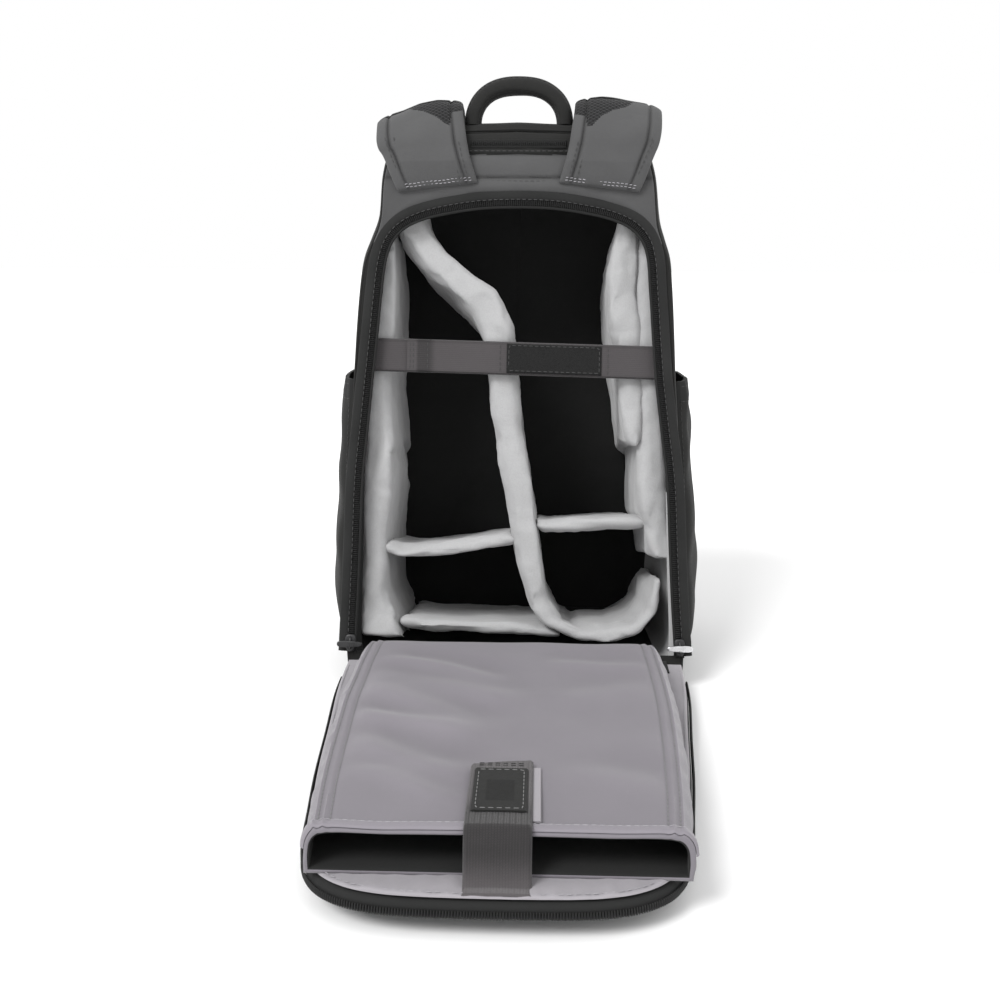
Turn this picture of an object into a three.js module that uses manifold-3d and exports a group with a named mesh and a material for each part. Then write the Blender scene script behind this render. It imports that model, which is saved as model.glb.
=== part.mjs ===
// Rear-access camera backpack. It stands upright with its back panel unzipped and laid down
// in front of it, and its shoulder straps thrown over the top.
// Units are millimetres. X runs to the viewer's right, Y into the pack and Z up. The origin
// is the middle of the base, on the ground.

import * as THREE from 'three';
import { mergeVertices } from 'three/addons/utils/BufferGeometryUtils.js';
import Module from 'manifold-3d';

// Body
const GAP = 0.3;
const BASE_DEPTH = 180;
const BASE_HALF_WIDTH = 131;
const BODY_HEIGHT = 425;
const HINGE_HEIGHT = 23;
const BACK_LEAN_DEG = 12;
const FRONT_LEAN_DEG = 3.5;
const BASE_THICKNESS = 2;
const SHELL_THICKNESS = 3;
const LINER_THICKNESS = 6;
const SKIN_THICKNESS = 2;
const FRONT_PAD_THICKNESS = 7;
const FRONT_PAD_MARGIN = 6;
const SKIN_MARGIN = 1;

// Opening, its zip and what closes round it
const OPENING_HALF_WIDTH = 125;
const OPENING_HEIGHT = 351;
const OPENING_START = 4;
const TAPE_WIDTH = 10.5;
const TAPE_THICKNESS = 1.2;
const COIL_WIDTH = 5;
const COIL_THICKNESS = 2.2;
const SLIDER_LENGTH = 15;
const SLIDER_HEIGHT = 5;
const SLIDER_BEVEL = 1;
const PULL_LENGTH = 20;
const PULL_THICKNESS = 1.8;
const PULL_WIDTH = 5;
const PULL_BEVEL = 0.4;
const YOKE_START = 322;
const TOP_PANEL_DROP = 15;
const TOP_PANEL_REACH = 104;
const TOP_ZIP_DROP = 20;
const TOP_ZIP_HALF_LENGTH = 26;

// Side pockets
const POCKET_TOP = 233;
const POCKET_BOTTOM = 19;
const POCKET_BULGE = 12.5;
const POCKET_WALL = 2;

// Padded pieces inside the compartment
const DIVIDER_THICKNESS = 20;
const SHELF_THICKNESS = 8.5;
const DIVIDER_SETBACK = 8.5;
const SHELF_SETBACK = 15;
const PAD_ROUNDING = 3;
const STABILISER_WIDTH = 26;
const STABILISER_HEIGHT = 234;
const STABILISER_DROP = 3;
const WEBBING_THICKNESS = 1.6;
const OVERLAP_LEFT = -84;
const OVERLAP_RIGHT = -64;
const PATCH_LEFT = -6;
const PATCH_RIGHT = 68;
const PATCH_THICKNESS = 1.3;

// Back panel laid on the ground, with the laptop sleeve on it
const FLAP_LENGTH = 344;
const FLAP_HALF_WIDTH = 130;
const FLAP_START = 8;
const BACK_PAD_THICKNESS = 9;
const BACK_PAD_MARGIN = 12;
const BACK_PAD_SPACING = 24;
const BACK_PAD_BEVEL = 3;
const FLAP_THICKNESS = 11.5;
const FLAP_BEVEL = 4;
const FLAP_RIM = 3;
const LINING_THICKNESS = 1.5;
const FLAP_TAPE_WIDTH = 11;
const HINGE_HALF_WIDTH = 112;
const HINGE_REACH = 20;
const SLEEVE_START = 42;
const SLEEVE_END = 324;
const SLEEVE_HALF_WIDTH = 105;
const SLEEVE_HEIGHT = 26;
const SLEEVE_WALL = 3;
const HEM_WIDTH = 7;
const HEM_THICKNESS = 1;
const LAPTOP_STRAP_HALF_WIDTH = 17.5;
const LAPTOP_STRAP_TOP = 253;
const LABEL_START = 264;
const LABEL_END = 313;
const LABEL_HALF_WIDTH = 14.7;
const LABEL_THICKNESS = 1;
const BACKING_THICKNESS = 1;
const BACKING_SHIFT = 3;

// Harness and handle
const STRAP_START = 365;
const STRAP_THICKNESS = 10;
const STRAP_HALF_WIDTH = 33;
const STRAP_SPREAD = 70;
const STRAP_LIFT = 8;
const STRAP_END = 0.47;
const HARNESS_WEBBING_HALF_WIDTH = 12.5;
const HARNESS_WEBBING_END = 0.075;
const LOCK_HEIGHT = 22;
const LOCK_HALF_WIDTH = 17;
const LOCK_THICKNESS = 5;
const HANDLE_HALF_SPAN = 36;
const HANDLE_RISE = 27;
const HANDLE_THICKNESS = 13;
const HANDLE_DEPTH = 22;
const HANDLE_SETBACK = 14;
const HANDLE_SEAT = 1.003;

// Columns: height share, half-width share at the back, half-width share at the front
const BODY_OUTLINE = [
  [0.000, 0.935, 0.900],
  [0.010, 0.975, 0.950],
  [0.035, 1.000, 0.985],
  [0.235, 0.993, 1.000],
  [0.375, 0.985, 0.990],
  [0.565, 0.958, 0.965],
  [0.720, 0.930, 0.935],
  [0.770, 0.910, 0.915],
  [0.803, 0.872, 0.892],
  [0.838, 0.834, 0.862],
  [0.918, 0.812, 0.790],
  [0.955, 0.780, 0.720],
  [0.980, 0.715, 0.610],
  [0.995, 0.610, 0.450],
  [1.000, 0.450, 0.280],
  [1.006, 0.000, 0.000],
];
// Columns: depth share, half-width share, height share
const BODY_DEPTHS = [
  [0.00, 0.985, 0.990],
  [0.04, 1.000, 1.000],
  [0.30, 1.015, 1.003],
  [0.60, 1.005, 0.990],
  [0.80, 0.980, 0.968],
  [0.92, 0.940, 0.940],
  [0.98, 0.885, 0.910],
  [1.00, 0.830, 0.885],
];
// Columns: height share, half-width share
const OPENING_OUTLINE = [
  [0.000, 1.000],
  [0.130, 0.980],
  [0.230, 0.968],
  [0.390, 0.950],
  [0.500, 0.917],
  [0.620, 0.882],
  [0.710, 0.860],
  [0.800, 0.840],
  [0.890, 0.812],
  [0.925, 0.775],
  [0.952, 0.705],
  [0.972, 0.590],
  [0.988, 0.400],
  [0.998, 0.180],
];
// Columns: distance share from the hinge, half-width share
const FLAP_OUTLINE = [
  [0.000, 1.000],
  [0.150, 0.992],
  [0.360, 0.950],
  [0.555, 0.912],
  [0.710, 0.870],
  [0.800, 0.845],
  [0.850, 0.820],
  [0.902, 0.785],
  [0.945, 0.715],
  [0.975, 0.610],
  [0.992, 0.480],
  [1.000, 0.300],
];
// Columns: height share of the pocket, bulge share
const POCKET_HEIGHTS = [
  [0.00, 0.22],
  [0.04, 0.62],
  [0.12, 0.86],
  [0.35, 0.95],
  [0.70, 1.00],
  [0.88, 1.00],
  [1.00, 0.97],
];
// Columns: depth share of the body, bulge share of the pocket
const POCKET_DEPTHS = [
  [0.10, 0.00],
  [0.16, 0.62],
  [0.30, 0.93],
  [0.45, 1.00],
  [0.60, 0.86],
  [0.68, 0.58],
  [0.72, 0.00],
];
// Columns: across share and height share of the opening, share of the divider's thickness
const MAIN_DIVIDER = [
  [-0.752, 1.097, 1.10],
  [-0.672, 0.960, 1.10],
  [-0.504, 0.882, 0.88],
  [-0.333, 0.831, 1.05],
  [-0.181, 0.792, 1.12],
  [-0.104, 0.731, 1.05],
  [-0.076, 0.637, 0.94],
  [-0.041, 0.508, 0.88],
  [0.030, 0.352, 0.90],
  [0.088, 0.218, 0.78],
  [0.138, 0.129, 0.60],
  [0.228, 0.085, 0.52],
  [0.406, 0.057, 0.50],
  [0.594, 0.053, 0.50],
  [0.765, 0.073, 0.48],
  [0.852, 0.114, 0.44],
  [0.882, 0.188, 0.40],
];
// Columns: across share and height share of the opening, share of the shelf's thickness
const UPPER_SHELF = [
  [-1.10, 0.258, 1.0],
  [-0.82, 0.246, 1.0],
  [-0.72, 0.233, 1.0],
  [-0.42, 0.241, 1.0],
  [-0.07, 0.262, 1.0],
  [0.060, 0.268, 1.0],
];
const LOWER_SHELF = [
  [-1.10, 0.086, 0.9],
  [-0.74, 0.074, 0.9],
  [-0.55, 0.064, 0.9],
  [0.120, 0.060, 0.9],
  [0.290, 0.058, 0.9],
];
const LENS_SHELF = [
  [1.10, 0.308, 1.0],
  [0.83, 0.305, 1.0],
  [0.53, 0.301, 1.0],
  [0.18, 0.293, 1.0],
  [0.05, 0.310, 1.0],
];
// Columns: height share and across share of the opening, along a pad's inner edge
const LEFT_PAD_EDGE = [
  [0.980, -0.808],
  [0.860, -0.780],
  [0.720, -0.777],
  [0.630, -0.799],
  [0.505, -0.783],
  [0.438, -0.763],
  [0.371, -0.792],
  [0.281, -0.827],
  [0.146, -0.828],
  [0.097, -0.777],
  [0.045, -0.690],
];
const RIGHT_PAD_EDGE = [
  [0.980, 0.770],
  [0.855, 0.775],
  [0.700, 0.790],
  [0.570, 0.795],
  [0.466, 0.784],
  [0.400, 0.776],
  [0.333, 0.788],
  [0.300, 0.835],
  [0.222, 0.850],
];
const UPPER_PAD_EDGE = [
  [0.995, 0.660],
  [0.950, 0.635],
  [0.910, 0.602],
  [0.844, 0.593],
  [0.755, 0.608],
  [0.700, 0.629],
  [0.622, 0.670],
  [0.555, 0.684],
  [0.488, 0.710],
  [0.468, 0.750],
];
// Columns: distance share along the sleeve, half-width share, height share
const SLEEVE_STATIONS = [
  [0.00, 0.985, 0.50],
  [0.03, 1.000, 0.84],
  [0.12, 1.000, 0.97],
  [0.45, 1.000, 1.00],
  [0.80, 0.968, 1.00],
  [1.00, 0.940, 0.98],
];
// Columns: half-width share, height share
const SLEEVE_SECTION = [
  [-1.000, 0.00],
  [-1.000, 0.42],
  [-0.985, 0.78],
  [-0.945, 0.96],
  [-0.550, 1.00],
  [0.000, 1.02],
  [0.550, 1.00],
  [0.945, 0.96],
  [0.985, 0.78],
  [1.000, 0.42],
  [1.000, 0.00],
];
// Columns: distance share between the mouth and the panel's end, height share of the drop
const STRAP_DROP = [
  [0.05, 0.00],
  [0.22, 0.14],
  [0.38, 0.55],
  [0.52, 0.90],
  [0.64, 1.00],
  [0.94, 1.00],
];
// Columns: depth share over the top, share of the strap's lift
const STRAP_OVER_TOP = [
  [0.04, 0.75],
  [0.12, 1.00],
  [0.30, 0.85],
  [0.52, 0.45],
  [0.72, 0.30],
  [0.88, 0.45],
];
// Columns: share of the strap's half width, share of its thickness
const STRAP_SECTION = [
  [-0.92, 0.00],
  [-1.00, 0.40],
  [-0.93, 0.88],
  [-0.60, 1.00],
  [0.60, 1.00],
  [0.93, 0.88],
  [1.00, 0.40],
  [0.92, 0.00],
];

const COLOURS = {
  shell: { color: 0x37373a, roughness: 0.85, metalness: 0 },
  black: { color: 0x232325, roughness: 0.8, metalness: 0 },
  mesh: { color: 0x1e1e20, roughness: 0.95, metalness: 0 },
  grey: { color: 0x666667, roughness: 0.85, metalness: 0 },
  liner: { color: 0xb4b4b6, roughness: 0.9, metalness: 0 },
  lining: { color: 0xa5a0a5, roughness: 0.9, metalness: 0 },
  sleeve: { color: 0x8f8a91, roughness: 0.7, metalness: 0 },
  webbing: { color: 0x5f5a5c, roughness: 0.8, metalness: 0 },
  plastic: { color: 0x1c1c1e, roughness: 0.5, metalness: 0 },
  metal: { color: 0xb9b9bc, roughness: 0.3, metalness: 1 },
};

const wasm = await Module();
wasm.setup();

const { lerp, clamp, degToRad } = THREE.MathUtils;
const LEAN = degToRad(BACK_LEAN_DEG);
const FRONT_LEAN = degToRad(FRONT_LEAN_DEG);
const SHELL_FLOOR = BASE_THICKNESS + GAP;
const SKIN_TOP = GAP + SKIN_THICKNESS;
const CUTTER_REACH = 400;
const CUTTER_CLEARANCE = 20;
const MOUTH_CUT = 0.12;

const pack = new THREE.Group();

function addPiece(name, geometry, colour) {
  geometry.computeVertexNormals();
  const piece = new THREE.Mesh(geometry, new THREE.MeshStandardMaterial(colour));
  piece.name = name;
  pack.add(piece);
  return piece;
}

// Faces that close a ring of points, wound the way the ring runs
function capFaces(ring) {
  const normal = new THREE.Vector3();
  ring.forEach((point, index) => {
    normal.add(point.clone().cross(ring[(index + 1) % ring.length]));
  });
  normal.normalize();
  const side = new THREE.Vector3(1, 0, 0);
  if (Math.abs(normal.x) > 0.8) side.set(0, 1, 0);
  side.cross(normal).normalize();
  const up = normal.clone().cross(side);
  const flat = ring.map((point) => new THREE.Vector2(point.dot(side), point.dot(up)));
  return THREE.ShapeUtils.triangulateShape(flat, []).map(([a, b, c]) => {
    const area = flat[b].clone().sub(flat[a]).cross(flat[c].clone().sub(flat[a]));
    return area < 0 ? [a, c, b] : [a, b, c];
  });
}

// Closed body through rings of points that all have the same number of points
function loft(rings) {
  const count = rings[0].length;
  const last = (rings.length - 1) * count;
  const faces = [];
  for (let ring = 0; ring < rings.length - 1; ring += 1) {
    for (let point = 0; point < count; point += 1) {
      const a = ring * count + point;
      const b = ring * count + ((point + 1) % count);
      faces.push([a, b, b + count], [a, b + count, a + count]);
    }
  }
  capFaces(rings[0]).forEach(([a, b, c]) => faces.push([a, c, b]));
  capFaces(rings.at(-1)).forEach(([a, b, c]) => faces.push([a + last, b + last, c + last]));
  const points = rings.flat();
  const volume = faces.reduce((sum, [a, b, c]) => (
    sum + points[a].dot(points[b].clone().cross(points[c]))), 0);
  const outward = volume < 0 ? faces.map(([a, b, c]) => [a, c, b]) : faces;
  const geometry = new THREE.BufferGeometry();
  const positions = new Float32Array(points.flatMap((point) => point.toArray()));
  geometry.setAttribute('position', new THREE.BufferAttribute(positions, 3));
  geometry.setIndex(outward.flat());
  return geometry;
}

function toSolid(geometry) {
  const bare = geometry.clone();
  bare.deleteAttribute('normal');
  bare.deleteAttribute('uv');
  const merged = mergeVertices(bare, 1e-4);
  return new wasm.Manifold(new wasm.Mesh({
    numProp: 3,
    vertProperties: new Float32Array(merged.attributes.position.array),
    triVerts: new Uint32Array(merged.index.array),
  }));
}

function toGeometry(solid) {
  const mesh = solid.getMesh();
  const geometry = new THREE.BufferGeometry();
  geometry.setAttribute('position', new THREE.BufferAttribute(mesh.vertProperties, 3));
  geometry.setIndex(new THREE.BufferAttribute(mesh.triVerts, 1));
  return geometry;
}

// The largest body that a cut leaves
function largest(solid) {
  return solid.decompose().reduce((best, body) => (body.volume() > best.volume() ? body : best));
}

function lookUp(table, position, column) {
  const after = table.findIndex((row) => row[0] >= position);
  if (after <= 0) return after === 0 ? table[0][column] : table.at(-1)[column];
  const [low, high] = [table[after - 1], table[after]];
  return lerp(low[column], high[column], (position - low[0]) / (high[0] - low[0]));
}

// Left-hand normals of a path in its own plane, lengthened at its corners
function pathNormals(path, closed) {
  return path.map((point, index) => {
    const before = path[index - 1] ?? (closed ? path.at(-1) : null);
    const after = path[index + 1] ?? (closed ? path[0] : null);
    const normals = [[before, point], [point, after]].filter(([a, b]) => a && b).map(([a, b]) => (
      new THREE.Vector2(a[1] - b[1], b[0] - a[0]).normalize()));
    const sum = normals.reduce((total, normal) => total.clone().add(normal));
    const unit = sum.clone().normalize();
    return unit.divideScalar(Math.max(unit.dot(normals[0]), 0.5));
  });
}

function shiftPath(path, distance, closed = false) {
  const normals = pathNormals(path, closed);
  return path.map(([a, b], index) => [a + normals[index].x * distance, b + normals[index].y * distance]);
}

// Outline from the lower left, over the top and down to the lower right
function archPath(table, halfWidth, length, start = 0) {
  const left = table.map(([along, across]) => [-across * halfWidth, lerp(start, length, along)]);
  return [...left, ...left.map(([across, along]) => [-across, along]).reverse()];
}

// Plate whose levels have the columns: distance out, inset of the outline
function plate(outline, place, levels) {
  return loft(levels.map(([out, inset]) => (
    shiftPath(outline, -inset, true).map(([a, b]) => place(a, b, out)))));
}

// Band along a path, with a section of the columns: distance to the path's left, distance out
function band(path, place, section) {
  const normals = pathNormals(path, false);
  return loft(path.map(([a, b], index) => section.map(([across, out]) => (
    place(a + normals[index].x * across, b + normals[index].y * across, out)))));
}

const rectangle = (left, right, low, high) => [[left, low], [left, high], [right, high], [right, low]];
const coilSection = (inner, low) => [
  [inner, low],
  [inner + COIL_WIDTH, low],
  [inner + COIL_WIDTH, low + COIL_THICKNESS * 0.5],
  [inner + COIL_WIDTH * 0.75, low + COIL_THICKNESS],
  [inner + COIL_WIDTH * 0.25, low + COIL_THICKNESS],
  [inner, low + COIL_THICKNESS * 0.5],
];

// Place on the leaning back plane: across, up along it and out of it
function onBack(across, along, out = 0) {
  const y = -BASE_DEPTH / 2 + along * Math.sin(LEAN) - out * Math.cos(LEAN);
  return new THREE.Vector3(across, y, HINGE_HEIGHT + along * Math.cos(LEAN) + out * Math.sin(LEAN));
}

// Place over the laid panel: across, away from the hinge and up
const onFlap = (across, away, up) => new THREE.Vector3(across, -BASE_DEPTH / 2 - away, up);
const backY = (z) => -BASE_DEPTH / 2 + (z - HINGE_HEIGHT) * Math.tan(LEAN);
const frontY = (z) => BASE_DEPTH / 2 + z * Math.tan(FRONT_LEAN);
const alongAt = (z) => (z - HINGE_HEIGHT) / Math.cos(LEAN);

function bodyPoint(side, [height, backWidth, frontWidth], [depth, width, top], inset) {
  const share = lerp(backWidth, frontWidth, clamp(depth, 0, 1)) * width;
  const half = share === 0 ? 0 : Math.max(BASE_HALF_WIDTH * share - inset, 0);
  const z = lerp(SHELL_FLOOR + inset, BODY_HEIGHT * top - inset, height);
  const y = backY(z) + inset + depth * (frontY(z) - backY(z) - 2 * inset);
  return new THREE.Vector3(side * half, y, z);
}

function bodyRing(station, inset) {
  const left = BODY_OUTLINE.map((row) => bodyPoint(-1, row, station, inset));
  const right = BODY_OUTLINE.slice(0, -1).map((row) => bodyPoint(1, row, station, inset));
  return [...left, ...right.reverse()];
}

// The body's form, inset all round, with its mouth run out past the back plane where asked
function bodySolid(inset, openMouth = false) {
  const [, width, top] = BODY_DEPTHS[0];
  const mouth = openMouth ? [[-MOUTH_CUT, width, top]] : [];
  return toSolid(loft([...mouth, ...BODY_DEPTHS].map((station) => bodyRing(station, inset))));
}

const openingPath = archPath(OPENING_OUTLINE, OPENING_HALF_WIDTH, OPENING_HEIGHT, OPENING_START);
const cutter = (outline, low, high) => toSolid(plate(outline, onBack, [[low, 0], [high, 0]]));

function makeBody() {
  const baseLeft = BODY_OUTLINE[0][1] * BASE_HALF_WIDTH - SHELL_THICKNESS;
  const corner = BODY_OUTLINE[0][1] * FRONT_PAD_MARGIN * 2;
  const baseBack = backY(0) + SHELL_THICKNESS;
  const baseFront = frontY(0) - SHELL_THICKNESS;
  const base = [
    [-baseLeft, baseBack], [-baseLeft, baseFront - corner], [-baseLeft + corner, baseFront],
    [baseLeft - corner, baseFront], [baseLeft, baseFront - corner], [baseLeft, baseBack],
  ];
  const onBase = (x, y, z) => new THREE.Vector3(x, y, z);
  addPiece('base_panel', plate(base, onBase, [[0, 0], [BASE_THICKNESS, 0]]), COLOURS.black);

  const mouth = cutter(openingPath, -SHELL_THICKNESS - 1, CUTTER_CLEARANCE);
  const shell = bodySolid(0).subtract(bodySolid(SHELL_THICKNESS)).subtract(mouth);
  addPiece('body_shell', toGeometry(shell), COLOURS.shell);

  const linerOutside = SHELL_THICKNESS + GAP;
  const liner = bodySolid(linerOutside).subtract(bodySolid(linerOutside + LINER_THICKNESS, true));
  addPiece('compartment_liner', toGeometry(liner), COLOURS.black);

  const front = bodyRing(BODY_DEPTHS.at(-1), 0);
  const [centre, extent] = [new THREE.Vector3(), new THREE.Vector3()];
  const bounds = new THREE.Box3().setFromPoints(front);
  bounds.getCenter(centre);
  bounds.getSize(extent);
  addPiece('front_panel', loft([
    [GAP, FRONT_PAD_MARGIN],
    [FRONT_PAD_THICKNESS * 0.6, FRONT_PAD_MARGIN],
    [FRONT_PAD_THICKNESS, FRONT_PAD_MARGIN * 2],
  ].map(([out, inset]) => front.map((point) => {
    const z = centre.z + (point.z - centre.z) * (1 - 2 * inset / extent.z);
    return new THREE.Vector3(point.x * (1 - 2 * inset / extent.x), frontY(z) + out, z);
  }))), COLOURS.shell);
}

function makeYoke() {
  const back = bodyRing(BODY_DEPTHS[0], 0).map((point) => [point.x, alongAt(point.z)]);
  const skin = toSolid(plate(back, onBack, [[GAP, SKIN_MARGIN], [SKIN_TOP, SKIN_MARGIN]]));
  const arch = cutter(shiftPath(openingPath, TAPE_WIDTH + GAP), 0, CUTTER_CLEARANCE);
  const lower = rectangle(-CUTTER_REACH, CUTTER_REACH, -CUTTER_REACH, YOKE_START);
  const yoke = skin.subtract(arch).subtract(cutter(lower, 0, CUTTER_CLEARANCE));
  addPiece('yoke_panel', toGeometry(largest(yoke)), COLOURS.grey);

  const topEdge = alongAt(BODY_HEIGHT);
  const zipLine = topEdge - TOP_ZIP_DROP;
  const zip = rectangle(-TOP_ZIP_HALF_LENGTH, TOP_ZIP_HALF_LENGTH,
    zipLine - COIL_WIDTH / 2, zipLine + COIL_WIDTH / 2);
  const zipLow = SKIN_TOP + GAP;
  addPiece('top_zip', plate(zip, onBack, [
    [zipLow, 0], [zipLow + TAPE_THICKNESS, TAPE_THICKNESS / 2],
  ]), COLOURS.black);

  const above = cutter(rectangle(-CUTTER_REACH, CUTTER_REACH, topEdge - TOP_PANEL_DROP,
    topEdge + CUTTER_REACH), -TOP_PANEL_REACH, -GAP * 2);
  const cover = bodySolid(-SKIN_TOP).subtract(bodySolid(-GAP)).intersect(above);
  addPiece('top_panel', toGeometry(largest(cover)), COLOURS.grey);
}

function makeZip() {
  const tapeTop = GAP + TAPE_THICKNESS;
  addPiece('zip_tape_body', band(openingPath, onBack, [
    [0, GAP], [TAPE_WIDTH, GAP], [TAPE_WIDTH, tapeTop], [0, tapeTop],
  ]), COLOURS.black);
  const coilPath = archPath(OPENING_OUTLINE, OPENING_HALF_WIDTH, OPENING_HEIGHT,
    OPENING_START + SLIDER_LENGTH);
  addPiece('zip_coil_body', band(coilPath, onBack, coilSection(0, tapeTop + GAP)), COLOURS.black);

  [['left', -1], ['right', 1]].forEach(([side, sign]) => {
    const middle = sign * (OPENING_HALF_WIDTH + COIL_WIDTH / 2);
    const half = COIL_WIDTH * 0.8;
    const top = tapeTop + GAP + SLIDER_HEIGHT;
    const slider = rectangle(middle - half, middle + half,
      OPENING_START, OPENING_START + SLIDER_LENGTH - SLIDER_BEVEL);
    addPiece(`zip_slider_${side}`, plate(slider, onBack, [
      [tapeTop + GAP, SLIDER_BEVEL], [tapeTop + GAP + SLIDER_BEVEL, 0],
      [top - SLIDER_BEVEL, 0], [top, SLIDER_BEVEL * 1.5],
    ]), side === 'left' ? COLOURS.plastic : COLOURS.metal);
    const pullLow = top + GAP;
    const pull = rectangle(middle - PULL_LENGTH / 2, middle + PULL_LENGTH / 2,
      OPENING_START + PULL_WIDTH * 0.6, OPENING_START + PULL_WIDTH * 1.6);
    addPiece(`zip_pull_${side}`, plate(pull, onBack, [
      [pullLow, PULL_BEVEL], [pullLow + PULL_THICKNESS / 2, 0], [pullLow + PULL_THICKNESS, PULL_BEVEL],
    ]), side === 'left' ? COLOURS.plastic : COLOURS.metal);
  });
}

function makePockets() {
  [['left', -1], ['right', 1]].forEach(([side, sign]) => {
    const point = (z, depth, out) => {
      const height = (z - SHELL_FLOOR) / (BODY_HEIGHT - SHELL_FLOOR);
      const share = lerp(lookUp(BODY_OUTLINE, height, 1), lookUp(BODY_OUTLINE, height, 2), depth);
      const half = BASE_HALF_WIDTH * share * lookUp(BODY_DEPTHS, depth, 1);
      return new THREE.Vector3(sign * (half + out), lerp(backY(z), frontY(z), depth), z);
    };
    const seat = 2 * GAP;
    addPiece(`side_pocket_${side}`, loft(POCKET_HEIGHTS.map(([height, bulge]) => {
      const z = lerp(POCKET_BOTTOM, POCKET_TOP, height);
      const swell = Math.max(POCKET_BULGE * bulge - seat - POCKET_WALL, 0);
      const wall = (extra) => POCKET_DEPTHS.map(([depth, share]) => (
        point(z, depth, seat + extra + swell * share)));
      return [...wall(POCKET_WALL), ...wall(0).reverse()];
    })), COLOURS.shell);
  });
}

// Outline of a padded sheet seen on edge, grown by a clearance
function ribbon(rows, thickness, grow) {
  const path = rows.map(([across, along]) => [across * OPENING_HALF_WIDTH, along * OPENING_HEIGHT]);
  const normals = pathNormals(path, false);
  const side = (sign) => path.map(([across, along], index) => {
    const half = sign * (rows[index][2] * thickness / 2 + grow);
    return [across + normals[index].x * half, along + normals[index].y * half];
  });
  return [...side(1), ...side(-1).reverse()];
}

// Outline of a pad that fills out to the compartment's side, grown by a clearance
function sidePad(rows, grow) {
  const sign = Math.sign(rows[0][1]);
  const edge = rows.map(([along, across]) => [
    across * OPENING_HALF_WIDTH - sign * grow, along * OPENING_HEIGHT]);
  edge[0][1] += grow;
  edge.at(-1)[1] -= grow;
  return [...edge, [sign * CUTTER_REACH, edge.at(-1)[1]], [sign * CUTTER_REACH, edge[0][1]]];
}

function clockwise(outline) {
  const area = outline.reduce((sum, [a, b], index) => {
    const [c, d] = outline[(index + 1) % outline.length];
    return sum + a * d - b * c;
  }, 0);
  return area > 0 ? [...outline].reverse() : outline;
}

function makeInside() {
  const cavity = bodySolid(SHELL_THICKNESS + LINER_THICKNESS + 2 * GAP, true);
  const stack = (outline, setback) => {
    const levels = [
      [-setback, PAD_ROUNDING], [-setback - PAD_ROUNDING / 2, PAD_ROUNDING / 3],
      [-setback - PAD_ROUNDING * 1.5, 0], [-CUTTER_REACH, 0],
    ];
    return toSolid(plate(clockwise(outline), onBack, levels));
  };
  const keepOut = (outline) => cutter(clockwise(outline), -CUTTER_REACH, 0);
  const seat = (solid, ...cutters) => {
    const cut = cutters.reduce((body, other) => body.subtract(other), solid.intersect(cavity));
    return toGeometry(largest(cut));
  };
  const leftPad = keepOut(sidePad(LEFT_PAD_EDGE, GAP));
  const rightPad = keepOut(sidePad(RIGHT_PAD_EDGE, GAP));
  const upperPad = keepOut(sidePad(UPPER_PAD_EDGE, GAP));
  const main = keepOut(ribbon(MAIN_DIVIDER, DIVIDER_THICKNESS, GAP));

  addPiece('side_pad_left', seat(stack(sidePad(LEFT_PAD_EDGE, 0), DIVIDER_SETBACK)), COLOURS.liner);
  addPiece('side_pad_right',
    seat(stack(sidePad(RIGHT_PAD_EDGE, 0), DIVIDER_SETBACK)), COLOURS.liner);
  addPiece('side_pad_right_upper',
    seat(stack(sidePad(UPPER_PAD_EDGE, 0), DIVIDER_SETBACK), rightPad), COLOURS.liner);
  addPiece('divider_main', seat(stack(ribbon(MAIN_DIVIDER, DIVIDER_THICKNESS, 0), DIVIDER_SETBACK),
    leftPad, rightPad, upperPad), COLOURS.liner);
  [['divider_upper_left', UPPER_SHELF], ['divider_lower_left', LOWER_SHELF],
    ['divider_lens', LENS_SHELF]].forEach(([name, rows]) => {
    addPiece(name, seat(stack(ribbon(rows, SHELF_THICKNESS, 0), SHELF_SETBACK),
      leftPad, rightPad, main), COLOURS.liner);
  });

  const lane = (left, right, width) => {
    const height = (across) => STABILISER_HEIGHT - STABILISER_DROP * across / OPENING_HALF_WIDTH;
    return [
      [left, height(left) - width / 2], [left, height(left) + width / 2],
      [right, height(right) + width / 2], [right, height(right) - width / 2],
    ];
  };
  const under = -DIVIDER_SETBACK + GAP;
  const over = under + WEBBING_THICKNESS + GAP;
  const strip = (left, right, low) => toGeometry(largest(toSolid(plate(
    lane(left, right, STABILISER_WIDTH), onBack, [[low, 0], [low + WEBBING_THICKNESS, 0]],
  )).intersect(cavity)));
  addPiece('stabiliser_strap_left', strip(-CUTTER_REACH, OVERLAP_RIGHT, under), COLOURS.webbing);
  addPiece('stabiliser_strap_right', strip(OVERLAP_LEFT, CUTTER_REACH, over), COLOURS.webbing);
  const patchLow = over + WEBBING_THICKNESS + GAP;
  addPiece('hook_loop_patch', plate(lane(PATCH_LEFT, PATCH_RIGHT, STABILISER_WIDTH * 0.88), onBack, [
    [patchLow, 0], [patchLow + PATCH_THICKNESS, PATCH_THICKNESS / 2],
  ]), COLOURS.mesh);
}

const panelLow = BACK_PAD_THICKNESS + GAP;
const panelTop = panelLow + FLAP_THICKNESS;
const liningLow = panelTop + GAP;
const liningTop = liningLow + LINING_THICKNESS;
const flapPath = archPath(FLAP_OUTLINE, FLAP_HALF_WIDTH, FLAP_LENGTH, FLAP_START);

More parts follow.
